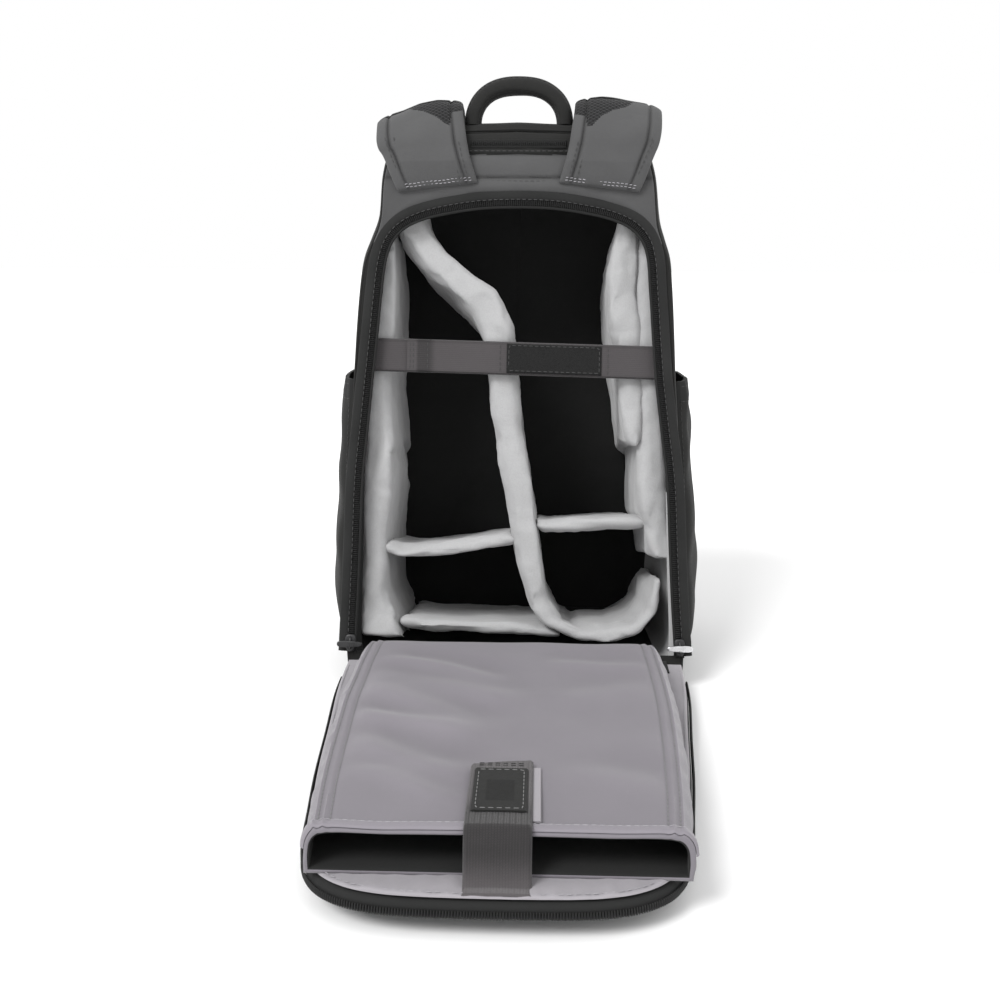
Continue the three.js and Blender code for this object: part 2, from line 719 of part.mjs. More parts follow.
function makeFlap() {
  [['left', -1], ['right', 1]].forEach(([side, sign]) => {
    const rows = archPath(FLAP_OUTLINE, FLAP_HALF_WIDTH, FLAP_LENGTH, FLAP_START);
    const outer = rows.slice(0, FLAP_OUTLINE.length - 3).map(([across, away]) => [
      sign * (-across - BACK_PAD_MARGIN), away + BACK_PAD_MARGIN * (1 - 2 * away / FLAP_LENGTH)]);
    const inner = sign * BACK_PAD_SPACING / 2;
    const outline = [...outer, [inner, outer.at(-1)[1]], [inner, outer[0][1]]];
    addPiece(`back_pad_${side}`, plate(clockwise(outline), onFlap, [
      [0, BACK_PAD_BEVEL], [BACK_PAD_BEVEL * 0.7, BACK_PAD_BEVEL * 0.2],
      [BACK_PAD_THICKNESS - BACK_PAD_BEVEL * 0.7, 0], [BACK_PAD_THICKNESS, BACK_PAD_BEVEL * 0.7],
    ]), COLOURS.mesh);
  });
  addPiece('flap_panel', plate(flapPath, onFlap, [
    [panelLow, FLAP_BEVEL], [panelLow + FLAP_BEVEL * 0.75, FLAP_BEVEL * 0.1],
    [panelTop - FLAP_BEVEL, 0], [panelTop - FLAP_BEVEL * 0.25, FLAP_BEVEL * 0.25],
    [panelTop, FLAP_BEVEL * 0.75],
  ]), COLOURS.black);
  const liningPath = shiftPath(flapPath, -FLAP_TAPE_WIDTH - GAP - FLAP_RIM);
  addPiece('flap_lining', plate(liningPath, onFlap, [
    [liningLow, 0], [liningTop, LINING_THICKNESS / 3],
  ]), COLOURS.lining);
  addPiece('flap_zip_tape', band(shiftPath(flapPath, -FLAP_RIM), onFlap, [
    [-FLAP_TAPE_WIDTH, liningLow], [0, liningLow],
    [0, liningLow + TAPE_THICKNESS], [-FLAP_TAPE_WIDTH, liningLow + TAPE_THICKNESS],
  ]), COLOURS.black);
  const coilTop = panelTop - FLAP_BEVEL;
  addPiece('flap_zip_coil', band(shiftPath(flapPath, GAP), onFlap, [
    [0, coilTop - COIL_WIDTH], [COIL_THICKNESS, coilTop - COIL_WIDTH * 0.8],
    [COIL_THICKNESS, coilTop - COIL_WIDTH * 0.4], [0, coilTop],
  ]), COLOURS.black);

  const low = HINGE_HEIGHT - HINGE_REACH / 2;
  const top = liningTop + GAP;
  const reach = -BASE_DEPTH / 2 - FLAP_START - HINGE_REACH;
  const thick = LINING_THICKNESS;
  const profile = [
    [backY(low) - GAP, low], [backY(top + thick) - GAP, top + thick], [reach, top + thick],
    [reach, top], [backY(top) - GAP - thick, top], [backY(low) - GAP - thick, low],
  ];
  addPiece('hinge_fabric', loft([-HINGE_HALF_WIDTH, HINGE_HALF_WIDTH].map((x) => (
    profile.map(([y, z]) => new THREE.Vector3(x, y, z))))), COLOURS.black);
}

const sleeveLow = liningTop + GAP;

function sleeveSection(share, inset, away) {
  const half = SLEEVE_HALF_WIDTH * lookUp(SLEEVE_STATIONS, share, 1) - inset;
  const top = sleeveLow + SLEEVE_HEIGHT * lookUp(SLEEVE_STATIONS, share, 2) - inset;
  return SLEEVE_SECTION.map(([across, height]) => (
    onFlap(across * half, away, lerp(sleeveLow + inset, top, height))));
}

function makeSleeve() {
  const away = (share) => lerp(SLEEVE_START, SLEEVE_END, share);
  const shares = SLEEVE_STATIONS.map(([share]) => share);
  const outside = loft(shares.map((share) => sleeveSection(share, 0, away(share))));
  const inside = loft(shares.map((share, index) => {
    const end = index === shares.length - 1 ? CUTTER_CLEARANCE : 0;
    return sleeveSection(share, SLEEVE_WALL, away(share) + SLEEVE_WALL * (1 - share) + end);
  }));
  addPiece('laptop_sleeve', toGeometry(toSolid(outside).subtract(toSolid(inside))), COLOURS.sleeve);

  const hemShares = [1 - HEM_WIDTH / (SLEEVE_END - SLEEVE_START), 1];
  addPiece('sleeve_hem', loft(hemShares.map((share) => {
    const rim = (out) => {
      const section = sleeveSection(share, -out, away(share));
      return section.slice(1, -1);
    };
    return [...rim(GAP + HEM_THICKNESS), ...rim(GAP).reverse()];
  })), COLOURS.sleeve);

  const crown = (distance) => {
    const share = (distance - SLEEVE_START) / (SLEEVE_END - SLEEVE_START);
    return sleeveSection(share, 0, distance)[(SLEEVE_SECTION.length - 1) / 2].z;
  };
  const seatUp = GAP + HEM_THICKNESS + GAP;
  const run = [0, 0.15, 0.35, 0.6, 0.85, 1].map((share) => {
    const distance = lerp(LAPTOP_STRAP_TOP, SLEEVE_END, share);
    return [distance, crown(distance) + seatUp];
  });
  const mouthUp = run.at(-1)[1];
  const landUp = liningTop + GAP;
  const drop = STRAP_DROP.map(([share, fall]) => [
    lerp(SLEEVE_END, FLAP_LENGTH, share), lerp(mouthUp, landUp, fall)]);
  const layer = (path, left, right, thickness) => {
    const outline = [...path, ...shiftPath(path, thickness).reverse()];
    const side = (x) => outline.map(([distance, up]) => onFlap(x, distance, up));
    return loft([side(left), side(right)]);
  };
  addPiece('laptop_strap', layer([...run, ...drop],
    -LAPTOP_STRAP_HALF_WIDTH, LAPTOP_STRAP_HALF_WIDTH, WEBBING_THICKNESS), COLOURS.webbing);

  const pathOf = (start, end, lift) => [0, 0.5, 1].map((share) => {
    const distance = lerp(start, end, share);
    return [distance, crown(distance) + lift];
  });
  const hemStart = SLEEVE_END - HEM_WIDTH - 2 * GAP;
  addPiece('laptop_strap_backing', layer(pathOf(LAPTOP_STRAP_TOP + 2, hemStart, GAP),
    LAPTOP_STRAP_HALF_WIDTH - 4 * BACKING_SHIFT, LAPTOP_STRAP_HALF_WIDTH + BACKING_SHIFT,
    BACKING_THICKNESS), COLOURS.lining);
  addPiece('strap_patch', layer(
    pathOf(LABEL_START, LABEL_END, seatUp + WEBBING_THICKNESS + 2 * GAP),
    -LABEL_HALF_WIDTH, LABEL_HALF_WIDTH, LABEL_THICKNESS), COLOURS.black);
}

// Body that follows a route, with a section of the columns: across, out
function sweep(stations) {
  return loft(stations.map(({ at, across, tangent, section }) => {
    const out = new THREE.Vector3(0, -tangent.z, tangent.y).normalize();
    return section.map(([a, b]) => at.clone().add(new THREE.Vector3(across + a, out.y * b, out.z * b)));
  }));
}

function makeHarness() {
  const seat = SKIN_TOP + 2 * GAP;
  const topEdge = alongAt(BODY_HEIGHT);
  const onYoke = [0, 0.3, 0.6, 0.85].map((share) => (
    onBack(0, lerp(STRAP_START, topEdge, share), seat + share * share)));
  const overTop = STRAP_OVER_TOP.map(([depth, lift]) => {
    const z = BODY_HEIGHT * lookUp(BODY_DEPTHS, depth, 2) + seat + STRAP_LIFT * lift;
    return new THREE.Vector3(0, lerp(backY(BODY_HEIGHT), frontY(BODY_HEIGHT), depth), z);
  });
  const frontSeat = FRONT_PAD_THICKNESS + 2 * GAP;
  const downFront = [0.9, 0.8, 0.7, 0.6, STRAP_END].map((share) => {
    const z = BODY_HEIGHT * share;
    return new THREE.Vector3(0, frontY(z) + frontSeat, z);
  });
  const route = new THREE.CatmullRomCurve3([...onYoke, ...overTop, ...downFront], false, 'centripetal');
  const reach = route.getLength();
  const crest = (STRAP_LIFT + topEdge - STRAP_START + STRAP_THICKNESS / 2) / reach;

  [['left', -1], ['right', 1]].forEach(([side, sign]) => {
    const run = (from, to, steps) => Array.from({ length: steps + 1 }, (_, step) => {
      const share = lerp(from, to, step / steps);
      const flare = Math.min(share / crest, 1);
      const half = STRAP_HALF_WIDTH * lerp(0.97, 1.02, flare) * lerp(1, 0.86, share);
      return {
        at: route.getPointAt(share),
        tangent: route.getTangentAt(share),
        across: sign * STRAP_SPREAD * lerp(0.92, 1.1, flare),
        section: STRAP_SECTION.map(([a, b]) => [a * half, b * STRAP_THICKNESS]),
      };
    });
    addPiece(`strap_base_${side}`, sweep(run(0, crest, 8)), COLOURS.grey);
    addPiece(`strap_pad_${side}`, sweep(run(crest + GAP / reach, 1, 16)), COLOURS.mesh);

    const x = sign * STRAP_SPREAD * 1.1;
    const lockTop = BODY_HEIGHT * STRAP_END;
    const frame = new THREE.Shape([
      [-LOCK_HALF_WIDTH, -LOCK_HEIGHT], [LOCK_HALF_WIDTH, -LOCK_HEIGHT],
      [LOCK_HALF_WIDTH, 0], [-LOCK_HALF_WIDTH, 0],
    ].map(([a, b]) => new THREE.Vector2(a, b)));
    const lock = addPiece(`ladder_lock_${side}`, new THREE.ExtrudeGeometry(frame, {
      depth: LOCK_THICKNESS, bevelEnabled: false,
    }), COLOURS.plastic);
    const out = new THREE.Vector2(Math.cos(FRONT_LEAN), -Math.sin(FRONT_LEAN))
      .multiplyScalar(LOCK_THICKNESS + 1);
    lock.position.set(x, frontY(lockTop) + frontSeat + out.x, lockTop - GAP + out.y);
    lock.rotation.x = Math.PI / 2 - FRONT_LEAN;

    const high = lockTop - LOCK_HEIGHT - 3 * GAP;
    const low = BODY_HEIGHT * HARNESS_WEBBING_END;
    const wall = (z, out) => frontY(z) + FRONT_PAD_THICKNESS + GAP + out;
    const strip = (half, top, bottom, lift, thickness) => loft([top, bottom].map((z) => [
      new THREE.Vector3(x - half, wall(z, lift), z),
      new THREE.Vector3(x + half, wall(z, lift), z),
      new THREE.Vector3(x + half, wall(z, lift + thickness), z),
      new THREE.Vector3(x - half, wall(z, lift + thickness), z),
    ]));
    addPiece(`strap_webbing_${side}`, strip(HARNESS_WEBBING_HALF_WIDTH, high, low,
      0, WEBBING_THICKNESS), COLOURS.webbing);
    addPiece(`strap_anchor_${side}`, strip(HARNESS_WEBBING_HALF_WIDTH * 1.3, low + LOCK_HEIGHT,
      low - GAP, WEBBING_THICKNESS + GAP, WEBBING_THICKNESS), COLOURS.webbing);
  });
}

function makeHandle() {
  const foot = backY(BODY_HEIGHT) + HANDLE_SETBACK;
  const depth = HANDLE_SETBACK / (frontY(BODY_HEIGHT) - backY(BODY_HEIGHT));
  const low = BODY_HEIGHT * lookUp(BODY_DEPTHS, depth, 2) * HANDLE_SEAT + SKIN_TOP + GAP;
  const steps = 14;
  addPiece('top_handle', loft(Array.from({ length: steps + 1 }, (_, step) => {
    const angle = Math.PI * step / steps;
    const bend = new THREE.Vector2(-Math.cos(angle), Math.sin(angle));
    const x = HANDLE_HALF_SPAN * Math.sign(bend.x) * Math.abs(bend.x) ** 0.85;
    const z = low + HANDLE_RISE * bend.y ** 0.9;
    return Array.from({ length: 8 }, (__, corner) => {
      const turn = Math.PI * (corner + 0.5) / 4;
      const across = Math.cos(turn) * HANDLE_THICKNESS / 2;
      return new THREE.Vector3(
        x + bend.x * across, foot + Math.sin(turn) * HANDLE_DEPTH / 2, z + bend.y * across);
    });
  })), COLOURS.black);
}

makeBody();
makeYoke();
makeZip();
makePockets();
makeInside();
makeFlap();
makeSleeve();
makeHarness();
makeHandle();

export default pack;
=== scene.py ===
# Rear-access camera backpack. It stands with its back panel open and laid in front of it, and
# its shoulder straps are thrown over the top. Shapes are worked out in millimetres in the
# object's frame, and become metres when a mesh is made.

import math

import bmesh
import bpy
import numpy as np
from mathutils import Matrix, Vector


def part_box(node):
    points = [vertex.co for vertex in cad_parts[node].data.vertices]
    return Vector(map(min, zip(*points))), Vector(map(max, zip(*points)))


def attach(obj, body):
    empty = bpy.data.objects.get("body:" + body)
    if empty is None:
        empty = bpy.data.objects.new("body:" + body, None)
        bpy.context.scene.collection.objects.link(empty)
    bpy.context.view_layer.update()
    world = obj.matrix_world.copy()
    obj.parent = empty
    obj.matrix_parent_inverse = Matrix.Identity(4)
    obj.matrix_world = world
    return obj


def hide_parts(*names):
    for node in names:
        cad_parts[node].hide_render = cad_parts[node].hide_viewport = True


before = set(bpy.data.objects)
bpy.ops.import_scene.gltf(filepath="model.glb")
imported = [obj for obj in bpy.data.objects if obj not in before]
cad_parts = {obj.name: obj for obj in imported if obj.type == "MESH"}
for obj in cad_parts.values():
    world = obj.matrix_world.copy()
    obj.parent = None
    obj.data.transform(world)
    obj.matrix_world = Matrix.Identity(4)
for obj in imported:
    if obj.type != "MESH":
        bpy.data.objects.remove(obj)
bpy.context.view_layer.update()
MM = 0.001

# Body
GAP = 0.3
BASE_DEPTH = 180
BASE_HALF_WIDTH = 131
BODY_HEIGHT = 425
HINGE_HEIGHT = 23
LEAN = math.radians(12)
FRONT_LEAN = math.radians(3.5)
BASE_THICKNESS = 2
SHELL_THICKNESS = 3
LINER_THICKNESS = 6
SKIN_THICKNESS = 2
FRONT_PAD_THICKNESS = 7
FRONT_PAD_MARGIN = 6

# Opening and its zip
OPENING_HALF_WIDTH = 125
OPENING_HEIGHT = 351
OPENING_START = 4
TAPE_WIDTH = 10.5
TAPE_THICKNESS = 1.2
COIL_WIDTH = 5
COIL_THICKNESS = 2.2
SLIDER_LENGTH = 15
YOKE_START = 322
YOKE_SEAMS = (373, 391)
TOP_PANEL_DROP = 15
TOP_PANEL_REACH = 104
TOP_ZIP_DROP = 20
TOP_ZIP_HALF_LENGTH = 26

# Side pockets
POCKET_TOP = 233
POCKET_BOTTOM = 19
POCKET_BULGE = 12.5
POCKET_SAG = 4.5
POCKET_WALL = 2
POCKET_HEM = 14

# Padded pieces inside
DIVIDER_SETBACK = 8.5
STABILISER_WIDTH = 26
STABILISER_HEIGHT = 234
STABILISER_DROP = 3
WEBBING_THICKNESS = 1.6
OVERLAP_LEFT = -84
OVERLAP_RIGHT = -64
# Across-range of a band painted darker on the stabiliser straps
DARK_BAND_LEFT = -76
DARK_BAND_RIGHT = -64
PATCH_LEFT = -6
PATCH_RIGHT = 68
PATCH_THICKNESS = 1.3

# Laid back panel and its sleeve
FLAP_LENGTH = 344
FLAP_HALF_WIDTH = 130
FLAP_START = 8
BACK_PAD_THICKNESS = 9
BACK_PAD_MARGIN = 12
BACK_PAD_SPACING = 24
FLAP_THICKNESS = 11.5
FLAP_RIM = 3
LINING_THICKNESS = 1.5
FLAP_TAPE_WIDTH = 11
LINING_INSET = -1.5
LINING_LIFT = 0.8
HINGE_HALF_WIDTH = 117
HINGE_REACH = 20
SLEEVE_START = 34
SLEEVE_SHIFT = 1.6
SLEEVE_END = 324
SLEEVE_HALF_WIDTH = 105
SLEEVE_HEIGHT = 26
SLEEVE_WALL = 3
SLEEVE_FOLD_SCALE = 3.0
SLEEVE_FOLD_SPREAD = 1.8
HEM_WIDTH = 7
HEM_THICKNESS = 1
LAPTOP_STRAP_HALF_WIDTH = 17.5
LAPTOP_STRAP_TOP = 253
LAPTOP_STRAP_MIDDLE = -1.5
LAPTOP_STRAP_SLANT = 0.17
LABEL_START = 264
LABEL_END = 313
LABEL_HALF_WIDTH = 14.7

# Lie of the laid panel
PANEL_NARROWING = 0.036
PANEL_TURN = 4.5

# Harness and handle
STRAP_START = 365
STRAP_THICKNESS = 10
STRAP_HALF_WIDTH = 33
STRAP_SPREAD = 70
STRAP_ROOT_SLANT = 0.11
STRAP_LIFT = 8
STRAP_END = 0.47
WELT_SHARE = 0.72
HARNESS_WEBBING_HALF_WIDTH = 12.5
HARNESS_WEBBING_END = 0.075
LOCK_HEIGHT = 22
LOCK_HALF_WIDTH = 17
HANDLE_HALF_SPAN = 36
HANDLE_RISE = 29.6
HANDLE_THICKNESS = 13
HANDLE_DEPTH = 22
HANDLE_SETBACK = 14
HANDLE_SEAT = 1.003

# Sewing
STITCH_LENGTH = 2.9
STITCH_GAP = 1.5
THREAD_RADIUS = 0.34
TOOTH_PITCH = 1.5

# Camera
CAMERA_PLACE = (17.1, -966, 342)
CAMERA_PITCH = math.radians(12.4)
CAMERA_YAW = math.radians(-1.9)
CAMERA_ROLL = math.radians(0.26)
CAMERA_LENS = 42.75

# Columns: height share, half-width share at the back, half-width share at the front
BODY_OUTLINE = [
    (0.000, 0.935, 0.900),
    (0.010, 0.975, 0.950),
    (0.035, 1.000, 0.985),
    (0.235, 0.993, 1.000),
    (0.375, 0.985, 0.990),
    (0.565, 0.958, 0.965),
    (0.720, 0.930, 0.935),
    (0.770, 0.910, 0.915),
    (0.803, 0.872, 0.892),
    (0.838, 0.834, 0.862),
    (0.918, 0.812, 0.790),
    (0.955, 0.780, 0.720),
    (0.980, 0.715, 0.610),
    (0.995, 0.610, 0.450),
    (1.000, 0.450, 0.280),
    (1.006, 0.000, 0.000),
]
# Columns: depth share, half-width share, height share
BODY_DEPTHS = [
    (0.00, 0.985, 0.990),
    (0.04, 1.000, 1.000),
    (0.30, 1.015, 1.003),
    (0.60, 1.005, 0.990),
    (0.80, 0.980, 0.968),
    (0.92, 0.940, 0.940),
    (0.98, 0.885, 0.910),
    (1.00, 0.830, 0.885),
]
# Columns: height share, half-width share
OPENING_OUTLINE = [
    (0.000, 1.000),
    (0.130, 0.980),
    (0.230, 0.968),
    (0.390, 0.950),
    (0.500, 0.917),
    (0.620, 0.882),
    (0.710, 0.860),
    (0.800, 0.840),
    (0.890, 0.812),
    (0.925, 0.775),
    (0.952, 0.705),
    (0.972, 0.590),
    (0.988, 0.400),
    (0.998, 0.180),
]
# Columns: distance share from the hinge, half-width share
FLAP_OUTLINE = [
    (0.000, 1.000),
    (0.150, 0.992),
    (0.360, 0.950),
    (0.555, 0.912),
    (0.710, 0.870),
    (0.800, 0.845),
    (0.850, 0.820),
    (0.902, 0.785),
    (0.945, 0.715),
    (0.975, 0.610),
    (0.992, 0.480),
    (1.000, 0.300),
]
# Columns: height share of the pocket, bulge share
POCKET_HEIGHTS = [
    (0.00, 0.22),
    (0.04, 0.62),
    (0.12, 0.86),
    (0.35, 0.95),
    (0.70, 1.00),
    (0.88, 0.96),
    (1.00, 0.84),
]
# Columns: depth share of the body, bulge share of the pocket
POCKET_DEPTHS = [
    (0.10, 0.00),
    (0.16, 0.62),
    (0.30, 0.93),
    (0.45, 1.00),
    (0.60, 0.86),
    (0.68, 0.58),
    (0.72, 0.00),
]
# Columns: distance share along the sleeve, half-width share, height share
SLEEVE_STATIONS = [
    (0.00, 1.020, 0.96),
    (0.02, 1.045, 1.04),
    (0.12, 1.062, 1.05),
    (0.42, 1.066, 1.02),
    (0.80, 1.005, 1.00),
    (1.00, 0.952, 0.98),
]
# Columns: half-width share, height share
SLEEVE_SECTION = [
    (-1.000, 0.00),
    (-1.000, 0.42),
    (-0.985, 0.78),
    (-0.945, 0.96),
    (-0.550, 1.00),
    (0.000, 1.02),
    (0.550, 1.00),
    (0.945, 0.96),
    (0.985, 0.78),
    (1.000, 0.42),
    (1.000, 0.00),
]
# Columns: distance share between the mouth and the panel's end, height share of the drop
STRAP_DROP = [
    (0.05, 0.00),
    (0.22, 0.14),
    (0.38, 0.55),
    (0.52, 0.90),
    (0.64, 1.00),
    (0.94, 1.00),
]
# Columns: depth share over the top, share of the strap's lift
STRAP_OVER_TOP = [
    (0.04, 0.75),
    (0.12, 1.00),
    (0.30, 0.85),
    (0.52, 0.45),
    (0.72, 0.30),
    (0.88, 0.45),
]
# Columns: share across a strap from its outer edge, height where the grey cloth ends on the left
# strap, and on the right one
GREY_EDGE = [
    (-1.00, 450.0, 460.0),
    (-0.45, 442.0, 447.5),
    (-0.20, 439.5, 441.5),
    (0.10, 438.0, 439.0),
    (0.40, 433.5, 434.0),
    (0.62, 428.0, 426.5),
    (0.72, 427.0, 426.0),
    (0.76, 437.0, 434.0),
    (1.00, 438.5, 435.5),
]
# Columns: distance along a strap, how far out its middle is, its half width
STRAP_SHAPE = [
    (0, 62.4, 31.0),
    (15, 68.0, 32.6),
    (37, 74.6, 34.3),
    (58, 77.0, 33.6),
    (110, 77.0, 32.2),
    (340, 77.0, 28.4),
]
# Columns: share across a strap toward its outer edge, drop of the left crest, and of the right one
STRAP_DROOP = [
    (-1.0, -3.0, -4.0),
    (-0.4, -2.2, -4.5),
    (0.0, 0.5, -3.5),
    (0.4, 5.5, -1.5),
    (1.0, 10.5, 1.5),
]
# Columns: height, sideways sway of the standing pack
SWAY = [
    (0, 0.3),
    (60, -0.8),
    (150, -1.8),
    (235, -3.2),
    (310, -2.6),
    (360, -1.0),
    (400, -1.6),
    (430, -1.6),
]
# Columns: start across, start away, end across, end away, half width, depth of a sleeve's fold
SLEEVE_FOLDS = [
    (-84, 84, -4, 116, 6, 0.9),
    (-92, 112, 2, 160, 9, 0.8),
    (-96, 140, -12, 192, 8, 1.0),
    (-92, 176, -24, 214, 7, 1.1),
    (-88, 218, -26, 262, 8, 1.0),
    (-84, 262, -30, 288, 6, 0.7),
    (30, 92, 96, 84, 6, 0.5),
    (34, 150, 96, 138, 9, 0.45),
    (40, 252, 88, 286, 9, 0.5),
]

rng = np.random.default_rng(7)
DEPTH_OF_TOP = (TOP_PANEL_REACH, 0.6)
SHELL_FLOOR = BASE_THICKNESS + GAP
SKIN_TOP = GAP + SKIN_THICKNESS


def lerp(low, high, share):
    return low + (high - low) * share


def smoothstep(low, high, value):
    share = np.clip((value - low) / (high - low), 0, 1)
    return share * share * (3 - 2 * share)


def bump(value, middle, width):
    return np.exp(-(((value - middle) / width) ** 2))


def look_up(table, column, value):
    rows = np.array(table, float)
    return np.interp(value, rows[:, 0], rows[:, column])


def lengths(points):
    steps = np.linalg.norm(np.diff(points, axis=0), axis=1)
    return np.concatenate([[0], np.cumsum(steps)])


def resample(points, count):
    """Points evenly spaced along a line of points."""
    along = lengths(points)
    wanted = np.linspace(0, along[-1], count)
    return np.stack([np.interp(wanted, along, column) for column in points.T], axis=1)


def spline(points, count):
    """Smooth curve through points, at count even steps."""
    points = np.asarray(points, float)
    knots = np.concatenate([[0], np.cumsum(np.linalg.norm(np.diff(points, axis=0), axis=1) ** 0.5)])
    slopes = np.gradient(points, knots, axis=0)
    fine = []
    for index in range(len(points) - 1):
        t = np.linspace(0, 1, 17)[:, None]
        span = knots[index + 1] - knots[index]
        fine.append(
            (2 * t**3 - 3 * t**2 + 1) * points[index]
            + (t**3 - 2 * t**2 + t) * span * slopes[index]
            + (3 * t**2 - 2 * t**3) * points[index + 1]
            + (t**3 - t**2) * span * slopes[index + 1]
        )
    return resample(np.concatenate([part[:-1] for part in fine] + [points[-1:]]), count)


def on_back(across, along, out=0.0):
    """Place on the leaning back plane: across, up along it and out of it."""
    across, along, out = np.broadcast_arrays(across, along, out)
    y = -BASE_DEPTH / 2 + along * math.sin(LEAN) - out * math.cos(LEAN)
    z = HINGE_HEIGHT + along * math.cos(LEAN) + out * math.sin(LEAN)
    return np.stack([across, y, z], axis=-1)


def on_flap(across, away, up):
    """Place over the laid panel: across, away from the hinge and up."""
    across, away, up = np.broadcast_arrays(across, away, up)
    return np.stack([across, -BASE_DEPTH / 2 - away, up], axis=-1)


def settled(points):
    """Points of the laid panel, which lies a little to the left and narrows toward its end."""
    moved = points.copy()
    share = np.clip((-BASE_DEPTH / 2 - points[..., 1]) / FLAP_LENGTH, 0, 1)
    moved[..., 0] = points[..., 0] * (1 - PANEL_NARROWING * share) - PANEL_TURN * share
    return moved


def back_y(z):
    return -BASE_DEPTH / 2 + (z - HINGE_HEIGHT) * math.tan(LEAN)


def front_y(z):
    return BASE_DEPTH / 2 + z * math.tan(FRONT_LEAN)


def along_at(z):
    return (z - HINGE_HEIGHT) / math.cos(LEAN)


def back_plane_height(points):
    return (points[..., 1] + BASE_DEPTH / 2) * math.sin(LEAN) + (
        points[..., 2] - HINGE_HEIGHT) * math.cos(LEAN)


def ripple(points, size, seed):
    """Soft uneven waves of about that size, between about -1 and 1."""
    source = np.random.default_rng(seed)
    total = np.zeros(points.shape[:-1])
    waves = 9
    for _ in range(waves):
        direction = source.normal(size=3)
        direction *= 2 * math.pi * source.uniform(0.6, 1.5) / size / np.linalg.norm(direction)
        total += np.sin(points @ direction + source.uniform(0, 2 * math.pi))
    return total / math.sqrt(waves)


def grid_normals(rings, closed=True):
    """Normals of a grid of points, from its neighbours."""
    if closed:
        around = np.roll(rings, -1, axis=1) - np.roll(rings, 1, axis=1)
    else:
        around = np.gradient(rings, axis=1)
    along = np.gradient(rings, axis=0)
    normals = np.cross(around, along)
    size = np.linalg.norm(normals, axis=-1, keepdims=True)
    return normals / np.maximum(size, 1e-9)


def path_frames(path, closed=False):
    """Tangents of a path."""
    if closed:
        steps = np.roll(path, -1, axis=0) - np.roll(path, 1, axis=0)
    else:
        steps = np.gradient(path, axis=0)
    return steps / np.maximum(np.linalg.norm(steps, axis=1, keepdims=True), 1e-9)


def shift_path(path, distance):
    """A flat path moved to its left."""
    tangents = path_frames(path)
    return path + np.stack([-tangents[:, 1], tangents[:, 0]], axis=1) * distance


def arch(table, half_width, length, start, count):
    """Outline from the lower left, over the top and down to the lower right."""
    left = np.array([(-across * half_width, lerp(start, length, along)) for along, across in table])
    right = left[::-1] * (-1, 1)
    return spline(np.concatenate([left, right]), count)


def sway(points):
    """Points of the standing pack, moved sideways as the real one leans."""
    moved = points.copy()
    moved[..., 0] += look_up(SWAY, 1, points[..., 2])
    return moved


def skin(name, rings, material, slot, replaces=(), closed=True, upright=True, finish=None,
         shade=None, wear=None):
    """A piece through rings of points, in millimetres, with closed ends."""
    if upright:
        rings = sway(rings)
    row_count, ring_count = rings.shape[:2]
    points = rings.reshape(-1, 3) * MM
    columns = np.arange(ring_count if closed else ring_count - 1)
    rows = np.arange(row_count - 1)[:, None] * ring_count
    following = (columns + 1) % ring_count
    quads = np.stack([rows + columns, rows + following, rows + ring_count + following,
                      rows + ring_count + columns], axis=-1).reshape(-1, 4)
    wrapped = np.concatenate([rings, rings[:, :1]], axis=1) if closed else rings
    across = np.cumsum(np.linalg.norm(np.diff(wrapped, axis=1), axis=2), axis=1).mean(axis=0)
    across = np.concatenate([[0], across]) * MM
    along = np.concatenate([[0], np.cumsum(np.linalg.norm(np.diff(rings, axis=0), axis=2).mean(
        axis=1))]) * MM
    u = np.stack([across[columns], across[columns + 1], across[columns + 1], across[columns]], -1)
    v = np.repeat(along, 2)[1:-1].reshape(-1, 2)[:, [0, 0, 1, 1]]
    uv = np.stack([np.broadcast_to(u, (row_count - 1, *u.shape)),
                   np.broadcast_to(v[:, None], (row_count - 1, *u.shape))], axis=-1).reshape(-1, 2)

    mesh = bpy.data.meshes.new(name)
    faces = quads.tolist()
    caps = [list(range(ring_count))[::-1],
            list(range((row_count - 1) * ring_count, row_count * ring_count))]
    open_ends = [end for end in caps if closed and np.ptp(points[end], axis=0).max() > 1e-5]
    mesh.from_pydata(points.tolist(), [], faces + open_ends)
    layer = mesh.uv_layers.new(name="weave")
    cap_uv = np.concatenate([points[end][:, [0, 2]] for end in open_ends] or [np.zeros((0, 2))])
    layer.data.foreach_set("uv", np.concatenate([uv, cap_uv]).astype(np.float32).ravel())
    for label, values in (("shade", shade), ("wear", wear)):
        attribute = mesh.attributes.new(label, "FLOAT", "POINT")
        filled = np.zeros((row_count, ring_count)) if values is None else np.broadcast_to(
            values, (row_count, ring_count))
        attribute.data.foreach_set("value", filled.astype(np.float32).ravel())
    if finish is not None:
        middles = points[quads].mean(axis=1) / MM
        extra, faces_taken = finish
        marks = np.zeros(len(mesh.polygons), np.int32)
        marks[:len(quads)] = faces_taken(middles)
    mesh.materials.append(material)
    if finish is not None:
        mesh.materials.append(extra)
        mesh.polygons.foreach_set("material_index", marks)
    return dress(name, mesh, slot, replaces)


def dress(name, mesh, slot, replaces=(), sharp_deg=55):
    """An object of the pack from a mesh: welded, facing out and smooth."""
    work = bmesh.new()
    work.from_mesh(mesh)
    bmesh.ops.remove_doubles(work, verts=work.verts, dist=1e-6)
    bmesh.ops.dissolve_degenerate(work, edges=work.edges, dist=1e-7)
    if work.calc_volume(signed=True) < 0:
        bmesh.ops.reverse_faces(work, faces=work.faces)
    work.to_mesh(mesh)
    work.free()
    mesh.shade_smooth()
    mesh.set_sharp_from_angle(angle=math.radians(sharp_deg))
    piece = bpy.data.objects.new(name, mesh)
    bpy.context.scene.collection.objects.link(piece)
    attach(piece, "root")
    if replaces:
        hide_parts(*replaces)
    return piece


